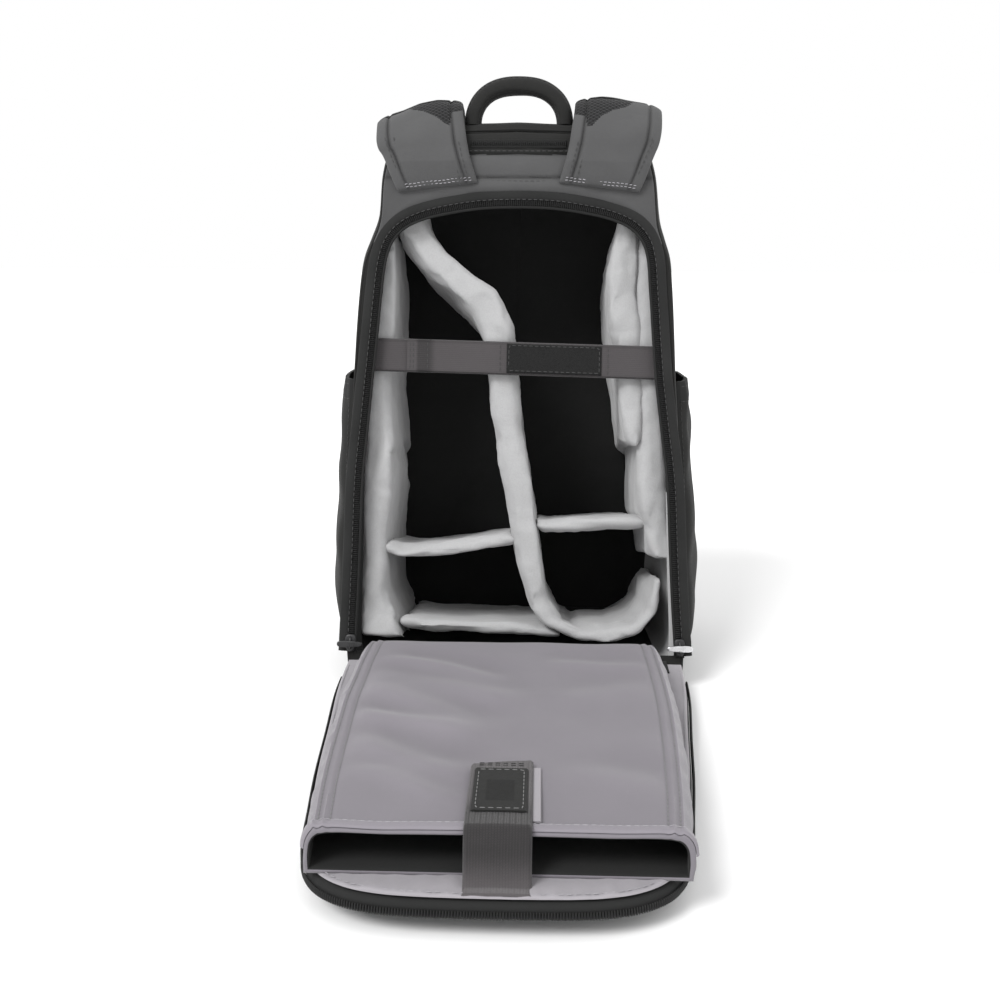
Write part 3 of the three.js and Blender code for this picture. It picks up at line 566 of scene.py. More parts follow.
def joined(name, parts, material, slot, replaces=(), upright=True):
    """One piece of many small closed forms, each a pair of points and faces in millimetres."""
    counts = np.cumsum([0] + [len(points) for points, _ in parts])
    points = np.concatenate([points for points, _ in parts])
    if upright:
        points = sway(points)
    mesh = bpy.data.meshes.new(name)
    faces = [[corner + start for corner in face]
             for start, (_, part) in zip(counts, parts) for face in part]
    mesh.from_pydata((points * MM).tolist(), [], faces)
    mesh.materials.append(material)
    return dress(name, mesh, slot, replaces)


def ring_faces(row_count, ring_count):
    """Faces of a closed form made of rings."""
    faces = [[row * ring_count + column, row * ring_count + (column + 1) % ring_count,
              (row + 1) * ring_count + (column + 1) % ring_count, (row + 1) * ring_count + column]
             for row in range(row_count - 1) for column in range(ring_count)]
    faces.append(list(range(ring_count))[::-1])
    faces.append(list(range((row_count - 1) * ring_count, row_count * ring_count)))
    return faces


def stub(start, end, side, out, section):
    """A small form between two points. Section columns: share along, half width, half height."""
    corners = np.arange(6) * math.pi / 3 + math.pi / 6
    rows = [start + (end - start) * share
            + np.cos(corners)[:, None] * side * width + np.sin(corners)[:, None] * out * height
            for share, width, height in section]
    return np.concatenate(rows), ring_faces(len(section), len(corners))


STITCH_SECTION = [(0.0, 0.35, 0.2), (0.14, 0.95, 0.75), (0.86, 0.95, 0.75), (1.0, 0.35, 0.2)]


def stitches(name, runs, material, slot, upright=True, radius=THREAD_RADIUS):
    """Rows of sewn thread. Each run is a path and the way out of the cloth along it."""
    parts = []
    section = [(share, width * radius, height * radius) for share, width, height in STITCH_SECTION]
    for path, out in runs:
        out = np.broadcast_to(np.asarray(out, float), path.shape)
        along = lengths(path)
        for begin in np.arange(STITCH_GAP / 2, along[-1] - STITCH_LENGTH, STITCH_LENGTH + STITCH_GAP):
            ends = [np.array([np.interp(at, along, path[:, axis]) for axis in range(3)])
                    for at in (begin, begin + STITCH_LENGTH)]
            up = np.array([np.interp(begin, along, out[:, axis]) for axis in range(3)])
            up /= np.linalg.norm(up)
            side = np.cross(ends[1] - ends[0], up)
            side /= max(np.linalg.norm(side), 1e-9)
            parts.append(stub(ends[0], ends[1], side, up, section))
    return joined(name, parts, material, slot, (), upright)


def tube(path, radius, sides=10, closed=False):
    """Rings of a round cord along a path."""
    tangents = path_frames(path, closed)
    up = np.zeros_like(path)
    guess = np.array([0.0, 0.0, 1.0])
    if abs(tangents[0] @ guess) > 0.8:
        guess = np.array([0.0, 1.0, 0.0])
    for index, tangent in enumerate(tangents):
        guess = guess - tangent * (guess @ tangent)
        guess /= np.linalg.norm(guess)
        up[index] = guess
    side = np.cross(tangents, up)
    turn = np.arange(sides) * 2 * math.pi / sides
    ring = side[:, None] * np.cos(turn)[None, :, None] + up[:, None] * np.sin(turn)[None, :, None]
    rings = path[:, None] + ring * radius
    if closed:
        return np.concatenate([rings, rings[:1]])
    ends = [path[0] - tangents[0] * radius * 0.4 + ring[0] * radius * 0.6,
            path[-1] + tangents[-1] * radius * 0.4 + ring[-1] * radius * 0.6]
    return np.concatenate([ends[:1], rings, ends[1:]])


def sweep(path, side, out, section):
    """Rings along a path from a section of the columns: across, out."""
    section = np.broadcast_to(section, (len(path), *np.shape(section)[-2:]))
    return (path[:, None] + side[:, None] * section[..., :1] + out[:, None] * section[..., 1:])


def strip_section(half, thickness, count=14, edge=0.16):
    """Section of a woven strap, a little thicker at its edges."""
    share = np.linspace(-1, 1, count)
    top = thickness * (1 + edge * bump(np.abs(share), 0.93, 0.08)) * (1 - 0.75 * np.abs(share)**40)
    low = thickness * 0.1 * np.abs(share)**40
    return np.concatenate([np.stack([share * half, top], 1), np.stack([share * half, low], 1)[::-1]])


def pillow(outline, spine, place, top, bottom, rim, top_rows=16, bottom_rows=6, reach=None):
    """Rings of a plate from the middle of its underside, round its edge, to the middle of its top.

    top and bottom give heights from the inset; rim lists the insets near the edge."""
    centre = np.stack([np.full(len(outline), spine[0]), np.clip(outline[:, 1], *spine[1])], axis=1)
    inward = centre - outline
    size = np.linalg.norm(inward, axis=1, keepdims=True)
    rows = []
    for heights, count in ((bottom, bottom_rows), (top, top_rows)):
        last = rim[-1] / size
        shares = [np.minimum(inset / size, 1) for inset in rim]
        shares += [last + (1 - last) * step / count for step in range(1, count + 1)]
        side = [place(*(outline + inward * share).T, heights((share * size)[:, 0])) for share in shares]
        rows.append(side)
    return np.array(rows[0][::-1] + rows[1])


def mesh_copy(name, source):
    copy = bpy.data.objects.new(name, source)
    bpy.context.scene.collection.objects.link(copy)
    return copy


def evaluated(piece):
    graph = bpy.context.evaluated_depsgraph_get()
    return bpy.data.meshes.new_from_object(piece.evaluated_get(graph))


def coordinates(mesh):
    points = np.zeros(len(mesh.vertices) * 3, np.float32)
    mesh.vertices.foreach_get("co", points)
    return points.reshape(-1, 3).astype(float)


def vertex_normals(mesh):
    normals = np.zeros(len(mesh.vertices) * 3, np.float32)
    mesh.vertices.foreach_get("normal", normals)
    return normals.reshape(-1, 3).astype(float)


SIM_FRAMES = 20


def puffed(name, node, material, slot, voxel, shrink, swell, limit, rows):
    """A padded piece from the node's solid: remeshed, blown up as cloth and capped, then softened.

    rows says how deep the soft waves are and their size."""
    work = bmesh.new()
    work.from_mesh(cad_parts[node].data)
    bmesh.ops.remove_doubles(work, verts=work.verts, dist=1e-6)
    mesh = bpy.data.meshes.new(name)
    work.to_mesh(mesh)
    work.free()
    rough = mesh_copy(name + "_rough", mesh)
    remesh = rough.modifiers.new("remesh", "REMESH")
    remesh.mode = "VOXEL"
    remesh.voxel_size = voxel * MM
    smooth = rough.modifiers.new("smooth", "SMOOTH")
    smooth.factor = 0.5
    smooth.iterations = 3
    even = evaluated(rough)
    bpy.data.objects.remove(rough)
    points = coordinates(even) - vertex_normals(even) * shrink * MM
    even.vertices.foreach_set("co", points.astype(np.float32).ravel())
    even.update()
    blown = mesh_copy(name + "_blown", even.copy())
    cloth = blown.modifiers.new("cloth", "CLOTH")
    cloth.settings.quality = 5
    cloth.settings.mass = 0.3
    cloth.settings.use_pressure = True
    cloth.settings.uniform_pressure_force = 4
    cloth.settings.effector_weights.gravity = 0
    cloth.settings.shrink_min = -swell
    cloth.settings.shrink_max = -swell
    cloth.point_cache.frame_end = SIM_FRAMES
    for step in range(1, SIM_FRAMES + 1):
        bpy.context.scene.frame_set(step)
    moved = coordinates(evaluated(blown)) - points
    bpy.data.objects.remove(blown)
    bpy.context.scene.frame_set(1)
    size = np.linalg.norm(moved, axis=1, keepdims=True)
    points = points + moved * np.minimum(1, limit * MM / np.maximum(size, 1e-9))
    even.vertices.foreach_set("co", points.astype(np.float32).ravel())
    even.update()
    depth, length = rows
    waves = ripple(points / MM, length, len(name)) * depth
    waves += np.clip(ripple(points / MM, length * 0.38, len(name) + 50), -0.2, 2) * depth * 0.6
    points = sway((points + vertex_normals(even) * waves[:, None] * MM) / MM) * MM
    even.vertices.foreach_set("co", points.astype(np.float32).ravel())
    even.materials.clear()
    even.materials.append(material)
    even.update()
    piece = dress(name, even, slot, (node,), 180)
    return piece


class Finish:
    """A material's nodes. A value may be a number, a colour or another node's socket."""

    def __init__(self, name):
        self.material = bpy.data.materials.new(name)
        self.material.use_nodes = True
        self.tree = self.material.node_tree
        self.tree.nodes.clear()
        self.shader = self.add("ShaderNodeBsdfPrincipled")
        self.add("ShaderNodeOutputMaterial", Surface=self.shader.outputs["BSDF"])

    def put(self, socket, value):
        if isinstance(value, bpy.types.NodeSocket):
            self.tree.links.new(value, socket)
        else:
            socket.default_value = value

    def add(self, kind, settings=(), **values):
        node = self.tree.nodes.new(kind)
        for key, value in dict(settings).items():
            setattr(node, key, value)
        for key, value in values.items():
            self.put(node.inputs[key.replace("_", " ")], value)
        return node

    def math(self, operation, *values):
        node = self.tree.nodes.new("ShaderNodeMath")
        node.operation = operation
        for socket, value in zip(node.inputs, values):
            self.put(socket, value)
        return node.outputs[0]

    def noise(self, place, size, detail=2.0):
        """Noise between 0 and 1, with features of that size in millimetres."""
        return self.add("ShaderNodeTexNoise", Vector=place, Scale=1 / (size * MM), Detail=detail,
                        Roughness=0.5).outputs["Fac"]

    def relief(self, height, depth, strength=1.0, below=None):
        """Bumps of that depth in millimetres."""
        node = self.add("ShaderNodeBump", Height=height, Distance=depth * MM, Strength=strength)
        if below is not None:
            self.put(node.inputs["Normal"], below)
        return node.outputs["Normal"]

    def attribute(self, name):
        return self.add("ShaderNodeAttribute", {"attribute_name": name}).outputs["Fac"]

    def colour(self, base, factor):
        """The base colour, made lighter or darker by a factor."""
        node = self.add("ShaderNodeVectorMath", {"operation": "SCALE"})
        node.inputs[0].default_value = base
        self.put(node.inputs["Scale"], factor)
        return node.outputs[0]

    def set(self, **values):
        for key, value in values.items():
            self.put(self.shader.inputs[key.replace("_", " ")], value)
        return self.material


def wave(n, value, pitch, offset=0.0):
    """A sine of a place in metres, with a pitch in millimetres."""
    turned = n.math("MULTIPLY_ADD", value, 2 * math.pi / (pitch * MM), offset)
    return n.math("SINE", turned)


def plain_weave(n, u, v, pitch):
    return n.math("MULTIPLY_ADD", n.math("MULTIPLY", wave(n, u, pitch), wave(n, v, pitch)), 0.5, 0.5)


def ribbed_weave(n, u, v, pitch):
    """Ribs across a strap, in short slanting rows."""
    slant = n.math("MULTIPLY_ADD", wave(n, u, pitch * 4), pitch * 0.5 * MM, v)
    ribs = n.math("ABSOLUTE", wave(n, slant, pitch * 2))
    rows = n.math("ABSOLUTE", wave(n, u, pitch * 4))
    return n.math("MULTIPLY", ribs, n.math("POWER", rows, 0.3))


def spacer_mesh(n, u, v, pitch):
    """Open mesh of round holes in staggered rows."""
    slanted = [n.math("MULTIPLY_ADD", v, side * 0.866, n.math("MULTIPLY", u, 0.5)) for side in (1, -1)]
    total = wave(n, u, pitch, math.pi / 2)
    for place in slanted:
        total = n.math("ADD", total, wave(n, place, pitch, math.pi / 2))
    holes = n.add("ShaderNodeMapRange", Value=total)
    for key, value in (("From Min", -0.4), ("From Max", 0.9), ("To Min", 1.0), ("To Max", 0.0)):
        holes.inputs[key].default_value = value
    return holes.outputs[0]


WEAVES = {"plain": plain_weave, "ribbed": ribbed_weave, "mesh": spacer_mesh}


def cloth(name, base, weave, pitch, depth, contrast=0.35, rough=0.85, sheen=0.15, mottle=0.10,
          pucker=0.25, pucker_size=9, fuzz=0.0):
    """Woven or brushed cloth, with its threads at their real size."""
    n = Finish(name)
    place = n.add("ShaderNodeTexCoord").outputs["Object"]
    if weave in WEAVES:
        flat = n.add("ShaderNodeSeparateXYZ",
                     Vector=n.add("ShaderNodeUVMap", {"uv_map": "weave"}).outputs[0])
        threads = WEAVES[weave](n, flat.outputs["X"], flat.outputs["Y"], pitch)
    else:
        loops = n.add("ShaderNodeTexVoronoi", Vector=place, Scale=1 / (pitch * MM))
        threads = n.math("SUBTRACT", 1.0, loops.outputs["Distance"])
    stains = n.noise(place, 55, 3.0)
    slubs = n.noise(place, 3.2)
    factor = n.math("MULTIPLY_ADD", n.math("SUBTRACT", threads, 0.5), contrast, 1.0)
    factor = n.math("MULTIPLY_ADD", n.math("SUBTRACT", stains, 0.5), mottle * 2, factor)
    factor = n.math("MULTIPLY_ADD", n.math("SUBTRACT", slubs, 0.5), mottle * 1.6, factor)
    # The shade attribute carries painted shade and painted highlights on several pieces, and a few own tone marks
    # such as the label's centre.
    factor = n.math("ADD", factor, n.attribute("shade"))
    factor = n.math("MULTIPLY_ADD", n.attribute("wear"), 0.45, factor)
    soft = n.relief(n.noise(place, pucker_size, 3.0), pucker)
    if fuzz:
        soft = n.relief(n.noise(place, 0.9, 3.0), fuzz, 1.0, soft)
    roughness = n.math("MULTIPLY_ADD", n.math("SUBTRACT", slubs, 0.5), 0.16, rough)
    shader = n.set(Base_Color=n.colour(base, factor), Roughness=roughness,
                   Normal=n.relief(threads, depth, 0.9, soft))
    n.shader.inputs["Sheen Weight"].default_value = sheen
    n.shader.inputs["Sheen Roughness"].default_value = 0.45
    n.shader.inputs["Specular IOR Level"].default_value = 0.28
    return shader


def moulded(name, base, rough, grain_size, grain_depth, metallic=0.0, scratch=0.0):
    """Moulded plastic or cast metal with a fine grain and rubbed patches."""
    n = Finish(name)
    place = n.add("ShaderNodeTexCoord").outputs["Object"]
    grain = n.noise(place, grain_size, 4.0)
    rubbed = n.noise(place, grain_size * 9, 3.0)
    factor = n.math("MULTIPLY_ADD", n.math("SUBTRACT", rubbed, 0.5), 0.3, 1.0)
    roughness = n.math("MULTIPLY_ADD", n.math("SUBTRACT", rubbed, 0.5), 0.25, rough)
    normal = n.relief(grain, grain_depth)
    if scratch:
        brushed = n.add("ShaderNodeMapping", Vector=place)
        brushed.inputs["Scale"].default_value = (0.05, 1.0, 1.0)
        normal = n.relief(n.noise(brushed.outputs[0], 0.12, 2.0), scratch, 1.0, normal)
    return n.set(Base_Color=n.colour(base, factor), Roughness=roughness, Metallic=metallic,
                 Normal=normal)


def thread(name, base):
    """Twisted sewing thread."""
    n = Finish(name)
    place = n.add("ShaderNodeTexCoord").outputs["Object"]
    twist = n.noise(place, 0.5, 2.0)
    worn = n.noise(place, 12, 2.0)
    factor = n.math("MULTIPLY_ADD", n.math("SUBTRACT", worn, 0.5), 0.5,
                    n.math("MULTIPLY_ADD", twist, 0.3, 0.85))
    return n.set(Base_Color=n.colour(base, factor), Roughness=n.math("MULTIPLY_ADD", twist, 0.2, 0.5),
                 Normal=n.relief(twist, 0.08))


SHELL = cloth("shell_cloth", (0.0128, 0.0128, 0.0122), "plain", 0.9, 0.10, sheen=0.06, pucker=0.30)
BLACK = cloth("black_cloth", (0.0125, 0.0127, 0.0125), "plain", 0.8, 0.09, sheen=0.05)
GREY = cloth("grey_cloth", (0.071, 0.071, 0.072), "plain", 0.9, 0.10, sheen=0.10, pucker=0.28)
LINER = cloth("liner_cloth", (0.350, 0.350, 0.353), "brushed", 1.1, 0.10, contrast=0.10, rough=0.95,
              sheen=0.35, mottle=0.05, pucker=0.45, pucker_size=14, fuzz=0.06)
LINING = cloth("lining_cloth", (0.275, 0.262, 0.280), "plain", 0.7, 0.06, contrast=0.16, sheen=0.2,
               mottle=0.05)
SLEEVE = cloth("sleeve_cloth", (0.160, 0.149, 0.166), "plain", 0.7, 0.05, contrast=0.14, rough=0.62,
               sheen=0.25, mottle=0.05, pucker=0.22, pucker_size=18)
WEBBING = cloth("webbing_cloth", (0.056, 0.051, 0.053), "ribbed", 0.75, 0.20, contrast=0.5,
                rough=0.7, sheen=0.2, pucker=0.1)
HOOK_LOOP = cloth("hook_loop_cloth", (0.0105, 0.0105, 0.0105), "brushed", 0.9, 0.45, contrast=0.7,
                  rough=0.95, sheen=0.05, pucker=0.2, fuzz=0.25)
AIR_MESH = cloth("air_mesh_cloth", (0.0095, 0.0095, 0.0100), "mesh", 2.3, 0.5, contrast=0.9,
                 rough=0.8, sheen=0.12, pucker=0.15)
TAPE = cloth("zip_tape_cloth", (0.0050, 0.0052, 0.0048), "ribbed", 0.6, 0.10, rough=0.75, sheen=0.08)
COIL = moulded("zip_coil_nylon", (0.006, 0.006, 0.006), 0.6, 0.7, 0.03)
PLASTIC = moulded("black_plastic", (0.013, 0.013, 0.014), 0.42, 0.5, 0.03)
ZINC = moulded("satin_zinc", (0.66, 0.66, 0.67), 0.28, 0.6, 0.02, metallic=1.0, scratch=0.02)
GREY_THREAD = thread("grey_thread", (0.17, 0.17, 0.17))
DARK_THREAD = thread("dark_thread", (0.026, 0.026, 0.026))
PALE_THREAD = thread("pale_thread", (0.30, 0.29, 0.31))


HALF_COUNT = 130
FLOOR_COUNT = 44


def form_loops(depths, inset, half_count=HALF_COUNT, floor_count=FLOOR_COUNT):
    """Closed loops round the body's form at the given depths, inset all round."""
    scale = np.array([BODY_HEIGHT, BASE_HALF_WIDTH, BASE_HALF_WIDTH], float)
    rows = spline(np.array(BODY_OUTLINE) * scale, half_count) / scale
    height, back, front = rows.T
    depth = np.asarray(depths, float)[:, None]
    width = look_up(SMOOTH_DEPTHS, 1, depth)
    top = look_up(SMOOTH_DEPTHS, 2, depth)
    share = lerp(back, front, np.clip(depth, 0, 1)) * width
    half = np.where(share <= 1e-6, 0, np.maximum(BASE_HALF_WIDTH * share - inset, 0))
    z = lerp(SHELL_FLOOR + inset, BODY_HEIGHT * top - inset, height)
    y = back_y(z) + inset + depth * (front_y(z) - back_y(z) - 2 * inset)
    left = np.stack([-half, y, z], axis=-1)
    right = left[:, ::-1][:, 1:] * (-1, 1, 1)
    share = np.linspace(0, 1, floor_count + 2)[1:-1][None, :, None]
    floor = lerp(right[:, -1:], left[:, :1], share)
    return np.concatenate([left, right, floor], axis=1)


DEPTH_SCALE = np.array([BASE_DEPTH, BASE_HALF_WIDTH, BODY_HEIGHT], float)
SMOOTH_DEPTHS = spline(np.array(BODY_DEPTHS) * DEPTH_SCALE, 90) / DEPTH_SCALE
OPENING = arch(OPENING_OUTLINE, OPENING_HALF_WIDTH, OPENING_HEIGHT, OPENING_START,
               2 * HALF_COUNT - 1)


def opening_loop(grow, out, floor_count=FLOOR_COUNT):
    """The opening's edge as a closed loop, grown sideways and moved out of the back plane."""
    path = shift_path(OPENING, grow)
    share = np.linspace(0, 1, floor_count + 2)[1:-1][:, None]
    floor = lerp(path[-1], path[0], share)
    flat = np.concatenate([path, floor])
    return on_back(flat[:, 0], flat[:, 1], out)


def toward_middle(loop, shares):
    middle = (loop.max(axis=0) + loop.min(axis=0)) / 2
    return [loop + (middle - loop) * share for share in shares]


def make_shell():
    """Outer cloth: the inner face from the front to the mouth, the rim, then the outer face."""
    inner = form_loops(np.linspace(1, 0.02, 12), SHELL_THICKNESS)
    outer = form_loops(np.linspace(0, 1, 64) ** 1.15, 0)
    rim = [opening_loop(0, -SHELL_THICKNESS), opening_loop(0.2, -0.6)]
    edge = opening_loop(1.2, 0)
    rim += [lerp(edge, outer[0], share) for share in (0, 0.2, 0.4, 0.6, 0.8, 0.95)]
    front_in = toward_middle(inner[0], (0.98, 0.7, 0.35))
    front_out = toward_middle(outer[-1], (0.03, 0.1, 0.25, 0.5, 0.75, 0.98))
    rings = np.array(front_in + list(inner) + rim + list(outer) + front_out)
    first = len(front_in) + len(inner) + len(rim)
    normals = grid_normals(rings)
    centre = rings.mean(axis=(0, 1))
    if (normals[first + 20] * (rings[first + 20] - centre)).sum() < 0:
        normals = -normals
    z, depth = rings[..., 2], rings[..., 1] - back_y(rings[..., 2])
    sides = smoothstep(3, 25, depth) * smoothstep(8, 40, z)
    folds = ripple(rings * (1, 1, 0.45), 34, 3) * 0.55 + ripple(rings, 85, 4) * 0.9
    belt = bump(z, 118, 1.6) + bump(depth, 118, 1.3) * (np.abs(rings[..., 0]) > 90)
    lift = (folds - 0.6) * sides - 0.9 * belt * sides
    lift[:first] = 0
    rings = rings + normals * lift[..., None]
    worn = bump(depth, 0, 6) * 0.5 + bump(z, 6, 7) * 0.6
    # Painted shade: the cloth is darkened along the belt's groove.
    shell = skin("body_cloth", rings, SHELL, "shell_fabric", ("body_shell",), shade=-0.25 * belt,
                 wear=np.clip(worn, 0, 1) * 0.5)

    for name, depth_share, out, size in (("back_piping", 0.0, 0.2, 1.1), ("front_piping", 0.965, 0.4, 1.6)):
        loop = form_loops([depth_share], -out)[0]
        if depth_share == 0:
            loop = loop + (0, 0.8, 0)
        piping = tube(resample(np.concatenate([loop, loop[:1]]), 420)[:-1], size, 8, closed=True)
        skin(name, piping, SHELL, "shell_fabric")


def make_base():
    """Stiff base board under the cloth, with a bound edge."""
    low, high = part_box("base_panel")
    left, front = low[0] / MM, high[1] / MM
    back = low[1] / MM
    corner = 14
    corners = [(left, back + 4), (left + 4, back), (-left - 4, back), (-left, back + 4),
               (-left, front - corner), (-left - corner, front), (left + corner, front),
               (left, front - corner), (left, back + 4)]
    outline = resample(np.array(corners, float), 161)[:-1]
    middle = (back + front) / 2
    span = (front - back) / 2 * 0.05
    heights = lambda inset: BASE_THICKNESS / 2 + BASE_THICKNESS / 2 * np.sqrt(
        1 - (1 - np.clip(inset, 0, 1)) ** 2)
    rings = pillow(outline, (0, (middle - span, middle + span)),
                   lambda x, y, z: np.stack(np.broadcast_arrays(x, y, z), axis=-1),
                   heights, lambda inset: BASE_THICKNESS - heights(inset),
                   (0, 0.15, 0.5, 1.0, 4, 6.0), 10, 10)
    base = skin("base_board", rings, BLACK, "black_fabric", ("base_panel",))


def make_tray():
    """Padded tray inside: outer face, its lip at the mouth, then the inner face."""
    outside = SHELL_THICKNESS + GAP
    outer = form_loops(np.linspace(1, 0, 8), outside)
    inner = form_loops(np.linspace(0.0, 1, 46), outside + LINER_THICKNESS)

    lip = [lerp(outer[-1], inner[0], share) + (0, -lift, 0)
           for share, lift in ((0.12, 0.9), (0.35, 1.6), (0.65, 1.6), (0.88, 0.9))]
    mouth = inner[0] + (0, -LINER_THICKNESS * 0.5, 0)
    ends_out = toward_middle(outer[0], (0.98, 0.5))
    ends_in = toward_middle(inner[-1], (0.04, 0.12, 0.25, 0.4, 0.55, 0.7, 0.85, 0.98))
    rings = np.array(ends_out + list(outer) + lip + [lerp(mouth, inner[0], 0.5)] + list(inner[1:])
                     + ends_in)
    first = len(ends_out) + len(outer) + len(lip) + 3
    normals = grid_normals(rings)
    if normals[first + 4, 60, 0] < 0:
        normals = -normals
    lift = ripple(rings, 42, 9) * 0.8 + 0.4
    lift[:first] = 0
    rings = rings + normals * lift[..., None]
    columns = rings.shape[1]
    corner = (inner[0][:, 0] > 84) & (np.abs(inner[0][:, 2] - 81) < 69)

    def light(middles):
        row, column = np.divmod(np.arange(len(middles)), columns)
        return (corner[column] & (row > len(ends_out) + len(outer)) & (row < first + 38)).astype(np.int32)

    tray = skin("compartment_tray", rings, BLACK, "black_fabric", ("compartment_liner",),
                finish=(LINER, light))


def clipped(loop, low):
    """The part of a closed loop above a height on the back plane, from left to right."""
    heights = back_plane_height(loop)
    above = np.nonzero(heights > low)[0]
    start, end = above[0], above[-1]
    before, after = (start - 1) % len(loop), (end + 1) % len(loop)
    first = lerp(loop[before], loop[start], (low - heights[before]) / (heights[start] - heights[before]))
    last = lerp(loop[end], loop[after], (low - heights[end]) / (heights[after] - heights[end]))
    return np.concatenate([[first], loop[start:end + 1], [last]])


def seam_profile(s, seams, half, depth):
    """Grooves at seams."""
    return sum(-depth * bump(s, seam, half) for seam in seams)


def make_yoke():
    """Grey cloth above the opening, in bands, with its sewn lines."""
    columns, rows = 220, 46
    arch_edge = shift_path(OPENING, TAPE_WIDTH + GAP)
    arch_top = arch_edge[arch_edge[:, 1] > YOKE_START]
    lower = resample(arch_top, columns)
    loop = form_loops([0.0], 0.4)[0]
    upper3 = resample(clipped(loop, YOKE_START), columns)
    upper = np.stack([upper3[:, 0], back_plane_height(upper3)], axis=1)
    shares = np.concatenate([[0, 0.012, 0.03], np.linspace(0.05, 0.95, rows), [0.97, 0.988, 1]])
    edge = np.minimum(shares, 1 - shares)
    flat = np.array([lerp(lower, upper, share) for share in shares])
    u, s = flat[..., 0], flat[..., 1]
    width = np.linalg.norm(upper - lower, axis=1)[None, :]
    rolled = SKIN_THICKNESS * np.sqrt(np.clip(1 - (1 - np.clip(
        edge[:, None] * width / 1.6, 0, 1)) ** 2, 0, 1))
    seam = bump(s, YOKE_SEAMS[0], 1.2) + bump(s, YOKE_SEAMS[1], 1.2)
    between = np.sin(np.clip((s - YOKE_SEAMS[0]) / (YOKE_SEAMS[1] - YOKE_SEAMS[0]), 0, 1) * math.pi)
    lip = np.sin(np.clip((s - 361) / (YOKE_SEAMS[0] - 361), 0, 1) * math.pi)
    swell = (1.5 * between + 0.9 * lip - 1.1 * seam) * smoothstep(110, 80, np.abs(u))
    top = on_back(u, s, GAP + rolled + np.maximum(swell, -1.2) * (rolled / SKIN_THICKNESS))
    top += ripple(top, 30, 12)[..., None] * (0, -0.35, 0)
    low = on_back(u, s, GAP)
    rings = np.concatenate([low.transpose(1, 0, 2), top[::-1].transpose(1, 0, 2)], axis=1)
    # Painted shade: darker in the seam grooves, along the lower edge by the arch and toward both sides.
    painted_shading = -0.35 * seam - 0.3 * smoothstep(0.16, 0, shares)[:, None] - 0.14 * smoothstep(66, 96, np.abs(u))
    shade = np.concatenate([painted_shading, painted_shading[::-1]]).T
    dark = lambda middles: (back_plane_height(middles) > YOKE_SEAMS[1]).astype(np.int32)
    yoke = skin("yoke_cloth", rings, GREY, "grey_fabric", ("yoke_panel",), shade=shade,
                finish=(SHELL, dark))

    line = np.linspace(-102, 102, 200)
    runs = []
    for seam_at, gap in ((YOKE_SEAMS[0], 2.6), (YOKE_SEAMS[1], -2.6)):
        keep = line[np.abs(line) < (36 if gap > 0 else 40)]
        lift = 2.6
        runs.append((on_back(keep, seam_at - gap, lift), on_back(0, 0, 1) - on_back(0, 0, 0)))
    stitches("yoke_stitches", runs, DARK_THREAD, "grey_fabric")

    zip_line = along_at(BODY_HEIGHT) - TOP_ZIP_DROP + 8
    half = TOP_ZIP_HALF_LENGTH + 11
    path = on_back(np.linspace(-half, half, 60), zip_line, SKIN_TOP + 0.2)
    side = np.broadcast_to(on_back(0, 1, 0) - on_back(0, 0, 0), path.shape)
    out = np.broadcast_to(on_back(0, 0, 1) - on_back(0, 0, 0), path.shape)
    zip_piece = skin("top_zip_tape", sweep(path, side, out, strip_section(3.4, 0.8)), TAPE, "zip",
                     ("top_zip",))
    teeth("top_zip_coil", on_back(np.linspace(-half, half, 60), zip_line, SKIN_TOP + 1.0), side, out, 3.2)

    stations = np.linspace(0.004, 1, 38)
    depth_at = TOP_PANEL_REACH / (front_y(BODY_HEIGHT) - back_y(BODY_HEIGHT))
    depths = stations * depth_at * 0.985
    columns = 170
    outer = np.array([resample(clipped(ring, along_at(BODY_HEIGHT) - TOP_PANEL_DROP), columns)
                      for ring in form_loops(depths, -SKIN_TOP)])
    inner = np.array([resample(clipped(ring, along_at(BODY_HEIGHT) - TOP_PANEL_DROP), columns)
                      for ring in form_loops(depths, -GAP)])
    edge = np.minimum(1, np.minimum(np.arange(columns), np.arange(columns)[::-1]) / 2.0)[None, :, None]
    front = np.minimum(1, (1 - stations) / 0.02)[:, None, None]
    back = np.minimum(1, stations / 0.02)[:, None, None]
    closing = np.sqrt(1 - (1 - np.minimum(edge, np.minimum(front, back))) ** 2)
    outer = inner + (outer - inner) * closing
    wrinkles = ripple(outer, 36, 21) * 0.5 + 0.5 * bump(stations, 0.5, 0.3)[:, None]
    outer = outer + (0, 0, 1) * (wrinkles[..., None] * closing)
    rings = np.concatenate([inner, outer[:, ::-1]], axis=1)
    # Painted shade: the upward-facing top panel is darkened all over.
    cover = skin("top_cloth", rings, SHELL, "shell_fabric", ("top_panel",), shade=-0.15 + 0 * rings[..., 0])


def teeth(name, path, side, out, width, upright=True):
    """Coil of a zip: short rounded turns across a path, as one piece."""
    along = lengths(path)
    side = np.broadcast_to(side, path.shape)
    out = np.broadcast_to(out, path.shape)
    parts = []
    section = [(0.0, 0.30, 0.35), (0.16, 0.55, 0.75), (0.5, 0.6, 1.0), (0.84, 0.55, 0.75),
               (1.0, 0.30, 0.35)]
    section = [(share, across, height) for share, across, height in section]
    for at in np.arange(TOOTH_PITCH, along[-1], TOOTH_PITCH):
        place, across, up = (np.array([np.interp(at, along, values[:, axis]) for axis in range(3)])
                             for values in (path, side, out))
        parts.append(stub(place - across * width / 2, place + across * width / 2,
                          np.cross(across, up), up, section))
    return joined(name, parts, COIL, "zip", (), upright)


